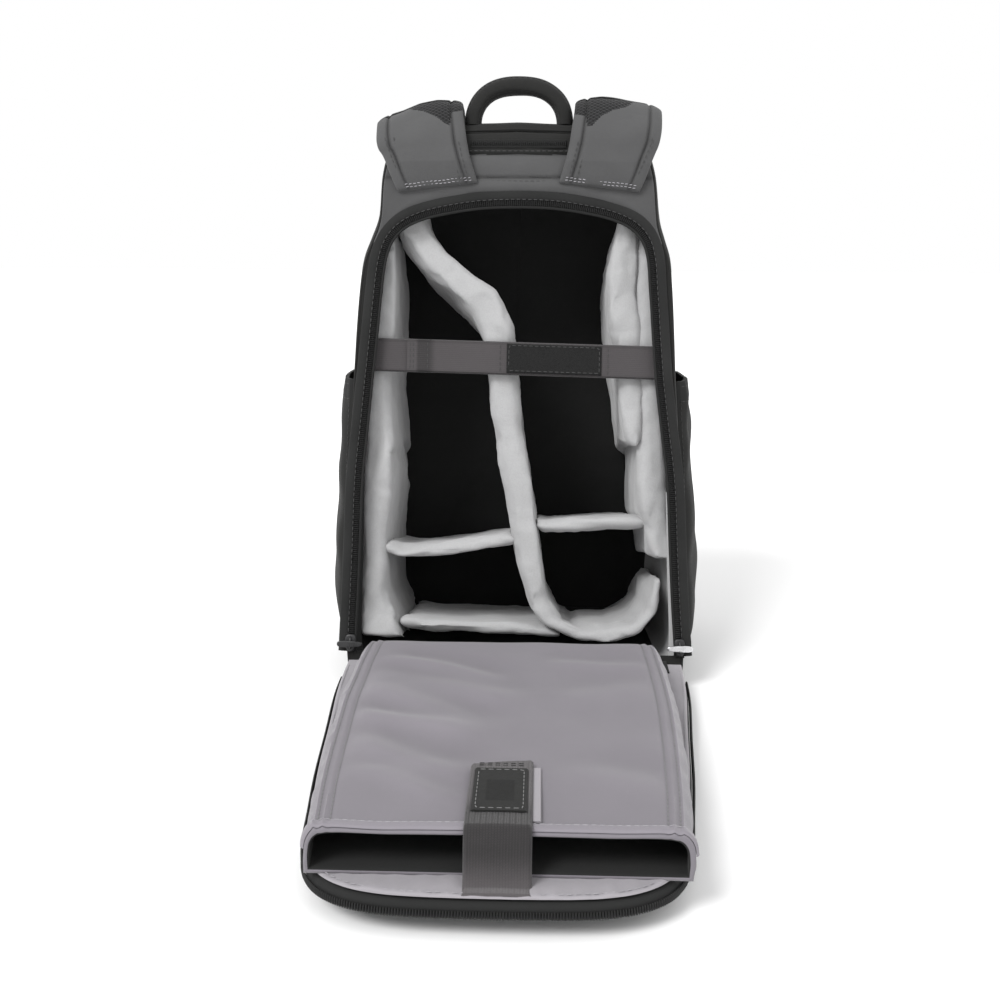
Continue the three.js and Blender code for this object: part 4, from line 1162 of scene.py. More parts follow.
def make_zip():
    """Zip round the opening: coil at the edge, tape, and the welt of black cloth outside it."""
    path = OPENING
    dense = resample(path, 520)
    normals = path_frames(dense)
    left = np.stack([-normals[:, 1], normals[:, 0]], axis=1)
    out = np.broadcast_to(on_back(0, 0, 1) - on_back(0, 0, 0), (len(dense), 3))
    side = on_back(left[:, 0], left[:, 1]) - on_back(0, 0)
    base = on_back(dense[:, 0], dense[:, 1], GAP)
    half = TAPE_WIDTH / 2
    tape = strip_section(half, TAPE_THICKNESS, 10) + (half, 0)
    piece = skin("zip_tape_opening", sweep(base, side, out, tape), TAPE, "zip", ("zip_tape_body",))
    run = lengths(dense)[-1] * MM

    welt_turn = np.linspace(0, math.pi, 12)
    welt = np.stack([-np.cos(welt_turn) * 3.9, np.sin(welt_turn) ** 0.6 * 2.6], axis=1)
    welt = np.concatenate([welt, [(3.9, 0), (-3.9, 0)]]) + (TAPE_WIDTH - 1.9, TAPE_THICKNESS * 0.4)
    soft = 1 + 0.10 * ripple(base, 26, 31)[:, None, None] * (0, 1)
    welt_piece = skin("zip_welt", sweep(base, side, out, welt[None] * soft), BLACK, "shell_fabric",
                      shade=(0.1 * ripple(base, 30, 33))[:, None])

    coil = on_back(*(dense + left * 2.9).T, TAPE_THICKNESS + GAP + 0.5)
    piece = teeth("zip_teeth_opening", coil[8:-8], side[8:-8], out[8:-8], COIL_WIDTH * 0.86)
    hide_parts("zip_coil_body")
    inner_edge = on_back(*(dense - left * 0.2).T, GAP + 0.4)
    skin("opening_binding", tube(inner_edge, 1.2, 8), BLACK, "black_fabric")
    run_path = on_back(*(dense + left * (TAPE_WIDTH - 5.3)).T, TAPE_THICKNESS + GAP + 1.7)
    stitches("zip_stitches", [(run_path[6:-6], out[0])], DARK_THREAD, "zip")


def plate_form(outline, place, levels):
    """A small hard form from an outline and levels of the columns: height, inset."""
    middle = outline.mean(axis=0)
    radius = np.linalg.norm(outline - middle, axis=1, keepdims=True)
    rows = [place(*(outline + (middle - outline) * inset / radius).T, height)
            for height, inset in levels]
    return np.concatenate(rows), ring_faces(len(levels), len(outline))


def rounded_outline(half_width, half_length, power=4, count=28):
    turn = np.arange(count) * 2 * math.pi / count
    c, s = np.cos(turn), np.sin(turn)
    return np.stack([half_width * np.sign(c) * np.abs(c) ** (2 / power),
                     half_length * np.sign(s) * np.abs(s) ** (2 / power)], axis=1)


def make_sliders():
    """A slider with its bridge and pull at each end of the zip."""
    low = GAP * 2 + TAPE_THICKNESS
    for side, sign, material, slot in (("left", -1, PLASTIC, "dark_hardware"),
                                       ("right", 1, ZINC, "bright_hardware")):
        centre = np.array([sign * (OPENING_HALF_WIDTH + COIL_WIDTH / 2),
                           OPENING_START + SLIDER_LENGTH / 2 - 0.5])
        place = lambda u, s, out: on_back(u + centre[0], s + centre[1], out)
        body = rounded_outline(4.4, SLIDER_LENGTH / 2 - 0.8, 3.2)
        body[:, 0] *= 1 - 0.22 * (body[:, 1] < 0) * np.abs(body[:, 1]) / (SLIDER_LENGTH / 2)
        plate = [(low, 0.8), (low + 0.4, 0.1), (low + 2.2, 0), (low + 2.9, 0.6), (low + 3.0, 1.4)]
        parts = [plate_form(body, place, plate)]
        turn = np.linspace(0, math.pi, 12)
        arc = place(0 * turn, np.cos(turn) * -4.2, low + 2.6 + np.sin(turn) * 2.0)
        rings = tube(arc, 0.85, 8)
        parts.append((rings.reshape(-1, 3), ring_faces(*rings.shape[:2])))
        joined(f"slider_{side}", parts, PLASTIC, slot, (f"zip_slider_{side}",))

        high = low + 5.3
        bar = rounded_outline(10, 2.6, 3.4, 36)
        bar[:, 1] *= 1 - 0.25 * smoothstep(-2, 9, -sign * bar[:, 0])
        tab = [(high, 0.5), (high + 0.35, 0.05), (high + 1.3, 0.05), (high + 1.7, 0.5), (high + 1.75, 1.3)]
        pull = [plate_form(bar, lambda u, s, out: place(u, s - 0.6, out), tab)]
        for ridge in (-3.2, -1.4, 0.4, 2.2):
            rib = rounded_outline(0.35, 1.9, 3, 12)
            pull.append(plate_form(rib, lambda u, s, out, at=ridge: place(
                u + at - sign * 2.5, s - 0.6, out), [(high + 1.6, 0.1), (high + 2.1, 0.1)]))
        joined(f"pull_{side}", pull, material, slot, (f"zip_pull_{side}",))


UP_BACK = on_back(0, 1, 0) - on_back(0, 0, 0)
OUT_BACK = on_back(0, 0, 1) - on_back(0, 0, 0)
ACROSS = np.array([1.0, 0.0, 0.0])


def make_pockets():
    """Side pockets: a bulged wall with an elastic hem that gathers it."""
    heights = spline(np.array(POCKET_HEIGHTS) * (100, 100), 60) / 100
    depth_rows = spline(np.array(POCKET_DEPTHS) * (100, 60), 72) / (100, 60)
    seat = 2 * GAP
    for side, sign in (("left", -1), ("right", 1)):
        z = lerp(POCKET_BOTTOM, POCKET_TOP, heights[:, :1])
        depth = depth_rows[None, :, 0]
        share_up = (z - SHELL_FLOOR) / (BODY_HEIGHT - SHELL_FLOOR)
        share = lerp(look_up(BODY_OUTLINE, 1, share_up), look_up(BODY_OUTLINE, 2, share_up), depth)
        half = BASE_HALF_WIDTH * share * look_up(BODY_DEPTHS, 1, depth)
        swell = np.maximum(POCKET_BULGE * heights[:, 1:] - seat - POCKET_WALL, 0)
        swell = swell + POCKET_SAG * bump(z, POCKET_BOTTOM + 65, 62)
        y = lerp(back_y(z), front_y(z), depth)
        z = np.broadcast_to(z, y.shape)
        gather = smoothstep(POCKET_TOP - 60, POCKET_TOP - POCKET_HEM, z)
        pleats = np.sin(depth * 95 + sign) * 0.55 * gather
        hem = smoothstep(POCKET_TOP - POCKET_HEM - 1.5, POCKET_TOP - POCKET_HEM + 1.5, z)
        waves = ripple(np.stack([half, y, z], axis=-1), 40, 41 + sign) * 1.0
        out = swell * depth_rows[None, :, 1] + (pleats + waves) * np.clip(depth_rows[None, :, 1] * 2, 0, 1)
        out = np.maximum(out, 0)
        wall = POCKET_WALL + hem * 0.5
        wall *= 0.35 + 0.65 * np.clip(np.minimum(np.arange(72), np.arange(72)[::-1]) / 3, 0, 1)
        outer = np.stack([sign * (half + seat + out + wall), y, z], axis=-1)
        inner = np.stack([sign * (half + seat + out), y, z], axis=-1)
        rings = np.concatenate([outer, inner[:, ::-1]], axis=1)
        dark = lambda middles: (middles[..., 2] > POCKET_TOP - POCKET_HEM).astype(np.int32)
        pocket = skin(f"pocket_{side}", rings, SHELL, "shell_fabric", (f"side_pocket_{side}",),
                      finish=(BLACK, dark))
        runs = []
        for row in (POCKET_TOP - POCKET_HEM - 1.5, POCKET_TOP - 3):
            index = np.abs(z[:, 0] - row).argmin()
            runs.append((outer[index, 4:-4] + (sign * 0.2, 0, 0), (sign, 0, 0)))
        for column in (3, 68):
            runs.append((outer[3:-3, column] + (sign * 0.25, 0, 0), (sign, 0, 0)))
        stitches(f"pocket_stitches_{side}", runs, DARK_THREAD, "shell_fabric")


def make_front():
    """Padded front panel with a piped edge, plain behind the harness webbing."""
    depth = 1.0
    loop = form_loops([depth], 0)[0]
    middle = (loop.max(axis=0) + loop.min(axis=0)) / 2
    low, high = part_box("front_panel")
    flat = np.stack([loop[:, 0], loop[:, 2]], axis=1)
    inward = shift_inward(flat, FRONT_PAD_MARGIN)
    wall = FRONT_PAD_THICKNESS

    def place(x, z, out):
        y = front_y(z) + GAP + out
        return np.stack(np.broadcast_arrays(x, y, z), axis=-1)

    def top(inset):
        rounded = np.sqrt(np.clip(1 - (1 - np.clip(inset / 6, 0, 1)) ** 2, 0, 1))
        return 0.2 + (wall - 0.4) * rounded

    rings = pillow(inward, (0, (middle[2] - 70, middle[2] + 70)), place, top,
                   lambda inset: 0 * inset, (0, 0.3, 1.0, 2.2, 4, 6), 22, 8)
    seams = bump(np.abs(rings[..., 0]), 52, 1.3) + bump(rings[..., 2], 95, 1.3) * (
        np.abs(rings[..., 0]) < 52)
    front = rings[..., 1] > front_y(rings[..., 2]) + GAP + 3
    rings[..., 1] -= np.where(front, 0.9 * seams + 0.25 * (1 + ripple(rings, 45, 51)), 0)
    # Painted shade in the seam grooves.
    panel = skin("front_pad", rings, SHELL, "shell_fabric", ("front_panel",), shade=-0.2 * seams)
    edge = place(*shift_inward(flat, FRONT_PAD_MARGIN + 0.2).T, 1.4)
    skin("front_pad_piping", tube(resample(np.concatenate([edge, edge[:1]]), 300)[:-1], 1.5, 8,
                                  closed=True), BLACK, "black_fabric")


def shift_inward(flat, distance):
    """A closed flat outline moved toward its middle side."""
    tangents = path_frames(flat, closed=True)
    normal = np.stack([tangents[:, 1], -tangents[:, 0]], axis=1)
    middle = flat.mean(axis=0)
    if ((flat - middle) * normal).sum() > 0:
        normal = -normal
    moved = flat + normal * distance
    for _ in range(3):
        moved = (np.roll(moved, 1, axis=0) + 2 * moved + np.roll(moved, -1, axis=0)) / 4
    return moved


def make_inside():
    """Soft pads and dividers of the compartment."""
    for node, fill, limit in (("side_pad_left", 0.6, 3.0), ("side_pad_right", 0.6, 3.0),
                              ("side_pad_right_upper", 0.6, 3.0), ("divider_main", 0.7, 3.0),
                              ("divider_upper_left", 0.6, 2.0), ("divider_lower_left", 0.6, 2.0),
                              ("divider_lens", 0.6, 2.0)):
        puffed(node + "_cover", node, LINER, "liner_fabric", 3.2, 0.9, 0.03, limit, (0.6, 36))

    under = -DIVIDER_SETBACK + GAP
    over = under + WEBBING_THICKNESS + GAP
    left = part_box("stabiliser_strap_left")[0][0] / MM + 0.5
    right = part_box("stabiliser_strap_right")[1][0] / MM - 0.5
    for side, start, end, out in (("left", left, OVERLAP_RIGHT, under), ("right", OVERLAP_LEFT, right, over)):
        across = np.linspace(start, end, 90)
        height = STABILISER_HEIGHT - STABILISER_DROP * across / OPENING_HALF_WIDTH
        sag = -0.25 * np.sin((across - start) / (end - start) * math.pi)
        path = on_back(across, height, out + sag)
        strip = sweep(path, np.broadcast_to(UP_BACK, path.shape), np.broadcast_to(OUT_BACK, path.shape),
                      strip_section(STABILISER_WIDTH / 2, WEBBING_THICKNESS, 22))
        share = np.linspace(-1, 1, 22)
        edge = np.concatenate([bump(np.abs(share), 0.97, 0.12)] * 2)
        # Both straps are painted darker across a band of the overlap, and darker along their edges.
        dark_band = smoothstep(DARK_BAND_LEFT - 1, DARK_BAND_LEFT + 1, across) * smoothstep(
            DARK_BAND_RIGHT + 3, DARK_BAND_RIGHT - 3, across)
        strap = skin(f"stabiliser_{side}", strip, WEBBING, "webbing", (f"stabiliser_strap_{side}",),
                     shade=-0.35 * edge[None, :] - 0.5 * dark_band[:, None])
    runs = []
    for across in (OVERLAP_LEFT + 2.5, OVERLAP_LEFT + 5, OVERLAP_RIGHT - 4, PATCH_LEFT - 5, PATCH_RIGHT + 5):
        height = STABILISER_HEIGHT - STABILISER_DROP * across / OPENING_HALF_WIDTH
        ends = np.linspace(-0.42, 0.42, 12) * STABILISER_WIDTH
        runs.append((on_back(across, height + ends, over + WEBBING_THICKNESS + 0.05), OUT_BACK))
    stitches("stabiliser_stitches", runs, DARK_THREAD, "webbing")

    low = over + WEBBING_THICKNESS + GAP
    across = np.concatenate([[PATCH_LEFT, PATCH_LEFT + 0.15], np.linspace(PATCH_LEFT + 0.8, PATCH_RIGHT - 0.8, 70),
                             [PATCH_RIGHT - 0.15, PATCH_RIGHT]])
    height = STABILISER_HEIGHT - STABILISER_DROP * across / OPENING_HALF_WIDTH
    half = STABILISER_WIDTH * 0.44
    thick = PATCH_THICKNESS * np.sqrt(np.clip(np.minimum(across - PATCH_LEFT, PATCH_RIGHT - across) / 1.2,
                                              0.02, 1))
    section = strip_section(half, 1.0, 26)[None] * np.stack([np.ones_like(thick), thick], 1)[:, None]
    path = on_back(across, height, low)
    patch = skin("closure_patch", sweep(path, np.broadcast_to(UP_BACK, path.shape),
                                        np.broadcast_to(OUT_BACK, path.shape), section),
                 HOOK_LOOP, "hook_loop", ("hook_loop_patch",))
    frame_line = np.array([(PATCH_LEFT + 1.8, -half + 1.6), (PATCH_RIGHT - 1.8, -half + 1.6),
                           (PATCH_RIGHT - 1.8, half - 1.6), (PATCH_LEFT + 1.8, half - 1.6),
                           (PATCH_LEFT + 1.8, -half + 1.6)])
    line = resample(frame_line, 200)
    rise = STABILISER_HEIGHT - STABILISER_DROP * line[:, 0] / OPENING_HALF_WIDTH
    stitches("closure_stitches", [(on_back(line[:, 0], line[:, 1] + rise, low + PATCH_THICKNESS + 0.15),
                                   OUT_BACK)], DARK_THREAD, "hook_loop")


PANEL_LOW = BACK_PAD_THICKNESS + GAP
PANEL_TOP = PANEL_LOW + FLAP_THICKNESS
LINING_LOW = PANEL_TOP + GAP
LINING_TOP = LINING_LOW + LINING_THICKNESS
FLAP_PATH = arch(FLAP_OUTLINE, FLAP_HALF_WIDTH, FLAP_LENGTH, FLAP_START, 280)


def closed_outline(path, floor_count=60):
    share = np.linspace(0, 1, floor_count + 2)[1:-1][:, None]
    return np.concatenate([path, lerp(path[-1], path[0], share)])


def rounded_height(inset, reach):
    return np.sqrt(np.clip(1 - (1 - np.clip(inset / reach, 0, 1)) ** 2, 0, 1))


def make_flap():
    """The back panel laid on the ground: padded board, lining, zip half and the pads below it."""
    outline = closed_outline(FLAP_PATH)
    spine = (0, (FLAP_START + 105, FLAP_LENGTH - 105))
    half = FLAP_THICKNESS / 2
    rings = pillow(outline, spine, on_flap,
                   lambda inset: PANEL_LOW + half + half * rounded_height(inset, 5.2),
                   lambda inset: PANEL_LOW + half - half * rounded_height(inset, 5.2),
                   (0, 0.15, 0.6, 1.4, 2.6, 4, 5.2), 16, 12)
    edge_waves = ripple(rings, 28, 61) * 0.35
    rings[..., 2] -= np.where(rings[..., 2] > PANEL_TOP - 4, 0.3 + 0.3 * edge_waves, 0)
    worn = bump(rings[..., 2], PANEL_TOP - 1, 2.5) * (rings[..., 1] < -100)
    panel = skin("flap_cover", settled(rings), BLACK, "black_fabric", ("flap_panel",), upright=False,
                 wear=worn * 0.25)

    for side, sign in (("left", -1), ("right", 1)):
        rows = np.array([(sign * (across * FLAP_HALF_WIDTH - BACK_PAD_MARGIN),
                          lerp(FLAP_START, FLAP_LENGTH, away)) for away, across in FLAP_OUTLINE[:9]])
        rows[:, 1] += BACK_PAD_MARGIN * (1 - 2 * rows[:, 1] / FLAP_LENGTH)
        inner = sign * BACK_PAD_SPACING / 2
        corners = np.concatenate([rows, [(inner, rows[-1, 1]), (inner, rows[0, 1]), rows[0]]])
        edge = resample(corners, 241)[:-1]
        for _ in range(4):
            edge = (np.roll(edge, 1, axis=0) + 2 * edge + np.roll(edge, -1, axis=0)) / 4
        middle = (inner + sign * (FLAP_HALF_WIDTH - BACK_PAD_MARGIN)) / 2
        form = pillow(edge, (middle, (rows[0, 1] + 45, rows[-1, 1] - 40)), on_flap,
                      lambda inset: 4.5 + (BACK_PAD_THICKNESS - 4.6) * rounded_height(inset, 5),
                      lambda inset: 4.5 - 4.5 * rounded_height(inset, 5), (0, 0.3, 1.0, 2.2, 3.6, 5), 12, 12)
        channels = bump((form[..., 1] + 98) % 62, 31, 1.8) * (form[..., 2] < 2)
        form[..., 2] += channels * 1.6
        pad = skin(f"back_cushion_{side}", settled(form), AIR_MESH, "air_mesh", (f"back_pad_{side}",),
                   upright=False)

    inset_path = shift_path(FLAP_PATH, -FLAP_RIM - LINING_INSET)
    lining_edge = closed_outline(inset_path)
    rings = pillow(lining_edge, spine, on_flap,
                   lambda inset: LINING_LOW + LINING_LIFT + LINING_THICKNESS * (
                       0.25 + 0.75 * rounded_height(inset, 2)),
                   lambda inset: LINING_LOW + LINING_LIFT + 0 * inset, (0, 0.5, 1.2, 2.0, 4, 7, 11, 16),
                   26, 6)
    top = rings[..., 2] > LINING_LOW + LINING_LIFT + 0.2
    front = -BASE_DEPTH / 2 - rings[..., 1]
    soft = ripple(rings * (1, 0.6, 0), 15, 71) * 0.55 * smoothstep(SLEEVE_END - 8, SLEEVE_END + 4, front)
    soft += ripple(rings * (1, 1, 0), 55, 72) * 0.25
    rings[..., 2] += np.where(top, np.clip(soft, -0.4, 0.8), 0)
    lining = skin("panel_lining", settled(rings), LINING, "lining_fabric", ("flap_lining",), upright=False)

    path = shift_path(FLAP_PATH, -FLAP_RIM)
    base = on_flap(path[:, 0], path[:, 1], LINING_LOW)
    tangents = path_frames(path)
    right = on_flap(tangents[:, 1], -tangents[:, 0], 0) - on_flap(0, 0, 0)
    up = np.broadcast_to((0.0, 0.0, 1.0), base.shape)
    share = np.linspace(0, 1, 13)
    roll = 1.0 * np.sin(np.clip(share * 3, 0, 1) * math.pi)
    tape_top = np.stack([share * FLAP_TAPE_WIDTH, 0.5 + roll], axis=1)
    tape_low = np.stack([share * FLAP_TAPE_WIDTH, 0.02 + 0 * share], axis=1)[::-1]
    section = np.concatenate([tape_top, tape_low])
    wavy = 1 + 0.25 * ripple(base, 22, 75)[:, None, None] * (0, 1)
    tape = skin("flap_tape", settled(sweep(base, right, up, section[None] * wavy)), TAPE, "zip",
                ("flap_zip_tape",), upright=False)
    run = lengths(path)[-1]
    seam = on_flap(*(path + shift_direction(path) * -(LINING_INSET + 2.2)).T,
                   LINING_TOP + LINING_LIFT + 0.3)
    stitches("flap_seam_stitches", [(settled(seam)[4:-4], up[0])], PALE_THREAD, "lining_fabric", upright=False)

    coil_path = shift_path(FLAP_PATH, GAP + COIL_THICKNESS * 0.45)
    height = PANEL_TOP - 4 - COIL_WIDTH * 0.5
    line = on_flap(coil_path[:, 0], coil_path[:, 1], height)
    outward = -right
    coil = teeth("flap_teeth", settled(line)[6:-6], up[6:-6], outward[6:-6], COIL_WIDTH * 0.9, False)
    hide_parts("flap_zip_coil")

    low = HINGE_HEIGHT - HINGE_REACH / 2
    high = LINING_TOP + GAP + LINING_THICKNESS / 2
    reach = -BASE_DEPTH / 2 - FLAP_START - HINGE_REACH
    profile = spline([(back_y(low) - 1.0, low), (back_y(low + 6) - 1.0, low + 6),
                      (back_y(high) - 1.4, high - 1.2), (-BASE_DEPTH / 2 - 4.5, high),
                      (-BASE_DEPTH / 2 - 12, high), (reach, high)], 34)
    turned = path_frames(profile)
    normal = np.stack([turned[:, 1], -turned[:, 0]], axis=1)
    across = np.linspace(-HINGE_HALF_WIDTH, HINGE_HALF_WIDTH, 150)
    faces = []
    for side_sign in (0.5, -0.5):
        edge = profile + normal * side_sign * LINING_THICKNESS * 0.9
        faces.append(np.stack([np.broadcast_to(across[:, None], (150, 34)),
                               np.broadcast_to(edge[:, 0], (150, 34)),
                               np.broadcast_to(edge[:, 1], (150, 34))], axis=-1))
    waves = ripple(faces[0] * (1, 0.3, 0.3), 30, 81) * 0.5
    rings = np.concatenate([faces[0], faces[1][:, ::-1]], axis=1)
    lift = np.concatenate([waves, waves[:, ::-1]], axis=1) * bump(rings[..., 1], -97, 8)
    rings[..., 2] += lift
    hinge = skin("hinge_cloth", rings, BLACK, "black_fabric", ("hinge_fabric",), upright=False)
    lengths(profile)[-1] * MM
    runs = [(on_flap(across[3:-3], BASE_DEPTH * 0 + FLAP_START + HINGE_REACH - 3 + 0 * across[3:-3],
                     high + LINING_THICKNESS * 0.5 + 0.05), (0, 0, 1))]
    stitches("hinge_stitches", runs, DARK_THREAD, "black_fabric", upright=False)


def shift_direction(path):
    tangents = path_frames(path)
    return np.stack([-tangents[:, 1], tangents[:, 0]], axis=1)


SLEEVE_LOW = LINING_TOP + GAP
SECTION_ROWS = spline(np.array(SLEEVE_SECTION) * (SLEEVE_HALF_WIDTH, SLEEVE_HEIGHT), 150) / (
    SLEEVE_HALF_WIDTH, SLEEVE_HEIGHT)
SMOOTH_STATIONS = spline(np.array(SLEEVE_STATIONS) * (282, 105, 60), 120) / (282, 105, 60)


def sleeve_fold(x, away):
    """Height of the sleeve's long soft folds."""
    total = 0
    for x0, a0, x1, a1, width, depth in SLEEVE_FOLDS:
        half = width * SLEEVE_FOLD_SPREAD
        along = np.array([x1 - x0, a1 - a0], float)
        size = np.linalg.norm(along)
        along /= size
        run = (x - x0) * along[0] + (away - a0) * along[1]
        bend = 5 * np.sin(run / size * math.pi + x0)
        off = (away - a0) * along[0] - (x - x0) * along[1] - bend
        ends = smoothstep(-14, 12, run) * smoothstep(size + 16, size - 22, run)
        total = total + depth * SLEEVE_FOLD_SCALE * ends * (bump(off, 0, half) - 0.7 * bump(off, -1.5 * half, half))
    return total


def sleeve_ring(share, inset, away):
    """One closed loop of the sleeve, inset from its outer face."""
    half = SLEEVE_HALF_WIDTH * np.interp(share, SMOOTH_STATIONS[:, 0], SMOOTH_STATIONS[:, 1]) - inset
    top = SLEEVE_HEIGHT * np.interp(share, SMOOTH_STATIONS[:, 0], SMOOTH_STATIONS[:, 2]) - inset
    across, height = SECTION_ROWS.T
    upper = on_flap(across * half - SLEEVE_SHIFT, away, SLEEVE_LOW + inset + (top - inset) * height)
    floor_share = np.linspace(0, 1, 72)[1:-1][:, None]
    return np.concatenate([upper, lerp(upper[-1], upper[0], floor_share)])


def sleeve_crown(distance):
    share = (distance - SLEEVE_START) / (SLEEVE_END - SLEEVE_START)
    return SLEEVE_LOW + 1.02 * SLEEVE_HEIGHT * np.interp(
        share, SMOOTH_STATIONS[:, 0], SMOOTH_STATIONS[:, 2])


def make_sleeve():
    """Padded laptop sleeve: an open flat tube with folds, ridged seams, a hem and its strap."""
    reach = SLEEVE_END - SLEEVE_START
    shares = np.concatenate([[0, 0.004, 0.01], np.linspace(0.02, 0.985, 112), [0.992, 1]])
    outer = np.array([sleeve_ring(share, 0, SLEEVE_START + share * reach) for share in shares])
    inner = np.array([sleeve_ring(share, SLEEVE_WALL, SLEEVE_START + SLEEVE_WALL * (1 - share)
                                  + share * reach) for share in np.linspace(0, 1, 14)])
    x, away = outer[..., 0], -BASE_DEPTH / 2 - outer[..., 1]
    half_here = SLEEVE_HALF_WIDTH * np.interp(shares, SMOOTH_STATIONS[:, 0], SMOOTH_STATIONS[:, 1])
    across = np.abs(x + SLEEVE_SHIFT) / half_here[:, None]
    upper = outer[..., 2] > SLEEVE_LOW + SLEEVE_HEIGHT * 0.6
    ridges = 1.1 * bump(across, 0.945, 0.012) + 0.8 * bump(across, 0.895, 0.012)
    grooves = bump(across, 0.92, 0.009) + bump(across, 0.87, 0.009)
    folds = sleeve_fold(x, away) * smoothstep(0.88, 0.8, across) * smoothstep(1.0, 0.96, shares)[:, None]
    soft = ripple(outer * (1, 1, 0), 60, 91) * 0.35
    belly = -2.2 * bump(x, 0, 60) * bump(away, SLEEVE_END, 46)
    lift = np.where(upper, folds + soft + ridges - 0.5 * grooves + belly * 0.3, 0)
    outer[..., 2] += np.clip(lift, -4, 5)
    sides = (across > 0.95) * smoothstep(SLEEVE_LOW + 1, SLEEVE_LOW + 8, outer[..., 2])
    outer[..., 0] += sides * np.sign(x) * ripple(outer, 30, 92) * 0.6
    end = np.sqrt(np.clip(1 - (1 - np.clip(shares * reach / 7, 0, 1)) ** 2, 0, 1))[:, None]
    middle = (0, SLEEVE_LOW + SLEEVE_HEIGHT * 0.45)
    outer[..., 0] = middle[0] + (outer[..., 0] - middle[0]) * (0.965 + 0.035 * end)
    outer[..., 2] = middle[1] + (outer[..., 2] - middle[1]) * (0.80 + 0.20 * end)
    outer[0] = lerp(outer[0], outer[0].mean(axis=0), 0.15)
    lip = [lerp(inner[-1], outer[-1], share) - (0, 0.8 * math.sin(share * math.pi), 0)
           for share in (0.25, 0.5, 0.75)]
    rings = np.concatenate([inner, lip, outer[::-1]])
    shade = np.zeros(rings.shape[:2])
    # Painted highlight on the ridges and fold crests, painted shade in the grooves and fold valleys, and on the
    # sides below the top.
    painted_shading = 0.10 * ridges - 0.18 * grooves + 0.05 * np.clip(folds, -3, 3)
    shade[-len(outer):] = np.where(upper, painted_shading, -0.12)[::-1]
    inside = lambda middles: (np.arange(len(middles)) < 14 * rings.shape[1]).astype(np.int32)
    sleeve = skin("sleeve_cloth", rings, SLEEVE, "sleeve_fabric", ("laptop_sleeve",), upright=False,
                  shade=shade, finish=(BLACK, inside))
    runs = []
    for sign in (-1, 1):
        for place_share in (0.92, 0.87):
            index = np.abs(SECTION_ROWS[:, 0] - sign * place_share).argmin()
            runs.append((outer[4:-4, index] + (0, 0, 0.25), (0, 0, 1)))
    stitches("sleeve_stitches", runs, GREY_THREAD, "sleeve_fabric", upright=False)

    top = slice(8, 142)
    hem_start = 1 - HEM_WIDTH / reach
    hem_shares = np.linspace(hem_start, 1.0, 9)
    profile = np.sqrt(np.clip(1 - (np.linspace(-1, 1, 9)) ** 4, 0.02, 1))
    thick = (HEM_THICKNESS + 0.5) * profile
    shapes = []
    for out in (thick, 0 * thick):
        rows = []
        for share, extra in zip(hem_shares, out):
            ring = sleeve_ring(share, 0, SLEEVE_START + share * reach)[top]
            index = np.abs(shares - share).argmin()
            ring[:, 2] = outer[index, top, 2]
            ring[:, 0] = outer[index, top, 0]
            middle = np.array([0, 0, SLEEVE_LOW + SLEEVE_HEIGHT * 0.2])
            away_from = ring - middle
            away_from[:, 1] = 0
            away_from[:, 0] *= smoothstep(0.90, 1.0, np.abs(ring[:, 0]) / SLEEVE_HALF_WIDTH)
            away_from /= np.linalg.norm(away_from, axis=1, keepdims=True)
            rows.append(ring + away_from * (GAP + extra))
        shapes.append(np.array(rows))
    hem_rings = np.concatenate([shapes[0], shapes[1][:, ::-1]], axis=1)
    hem_rings[:, :, 2] += 0.2
    hem = skin("sleeve_hem_binding", hem_rings, SLEEVE, "sleeve_fabric", ("sleeve_hem",),
               upright=False, shade=0.22 + 0 * hem_rings[..., 0])
    stitches("hem_stitches", [(shapes[0][2] + (0, 0, 0.35), (0, 0, 1))], PALE_THREAD, "sleeve_fabric",
             upright=False)

    seat_up = GAP + HEM_THICKNESS + GAP + 0.6
    run = [(distance, sleeve_crown(distance) + seat_up)
           for distance in np.linspace(LAPTOP_STRAP_TOP, SLEEVE_END, 6)]
    mouth_up = run[-1][1]
    land_up = LINING_TOP + GAP
    drop = [(lerp(SLEEVE_END, FLAP_LENGTH, share), lerp(mouth_up, land_up, fall))
            for share, fall in STRAP_DROP]
    line = spline(run + drop, 120)
    path = on_flap(LAPTOP_STRAP_MIDDLE, line[:, 0], line[:, 1])
    tangents = path_frames(path)
    out = np.cross(np.broadcast_to(ACROSS, path.shape), tangents)
    out *= np.sign(out[:1, 2:3])
    side = np.broadcast_to(ACROSS, path.shape)
    along = np.linspace(0, 1, len(path))
    section = strip_section(LAPTOP_STRAP_HALF_WIDTH, WEBBING_THICKNESS, 26)
    arc = 0.5 * (1 - (section[:, :1] / LAPTOP_STRAP_HALF_WIDTH) ** 2)
    crowned = section + np.concatenate([0 * arc, arc], axis=1)
    rings = sweep(path, side, out, crowned)
    slant = smoothstep(LAPTOP_STRAP_TOP + 30, LAPTOP_STRAP_TOP, line[:, 0])[:, None]
    rings[..., 1] += (rings[..., 0] - LAPTOP_STRAP_MIDDLE) * LAPTOP_STRAP_SLANT * slant
    mouth = np.interp(SLEEVE_END, line[:, 0], along)
    # Painted shade on the strap near the sleeve's mouth, and painted light on its lower run toward the panel's end.
    dark = smoothstep(mouth - 0.28, mouth - 0.10, along) * smoothstep(mouth + 0.30, mouth + 0.10, along)
    dark = 0.66 * dark - 0.4 * smoothstep(mouth + 0.15, mouth + 0.35, along)
    strap = skin("sleeve_strap", rings, WEBBING, "webbing", ("laptop_strap",), upright=False,
                 shade=-dark[:, None])
    lengths(line)[-1] * MM
    sew = []
    for distance in (LAPTOP_STRAP_TOP + 2.5, LAPTOP_STRAP_TOP + 5):
        across = np.linspace(-15, 15, 20)
        sew.append((on_flap(across, distance, sleeve_crown(distance) + seat_up + WEBBING_THICKNESS + 0.65),
                    (0, 0, 1)))
    stitches("strap_end_stitches", sew, DARK_THREAD, "webbing", upright=False)

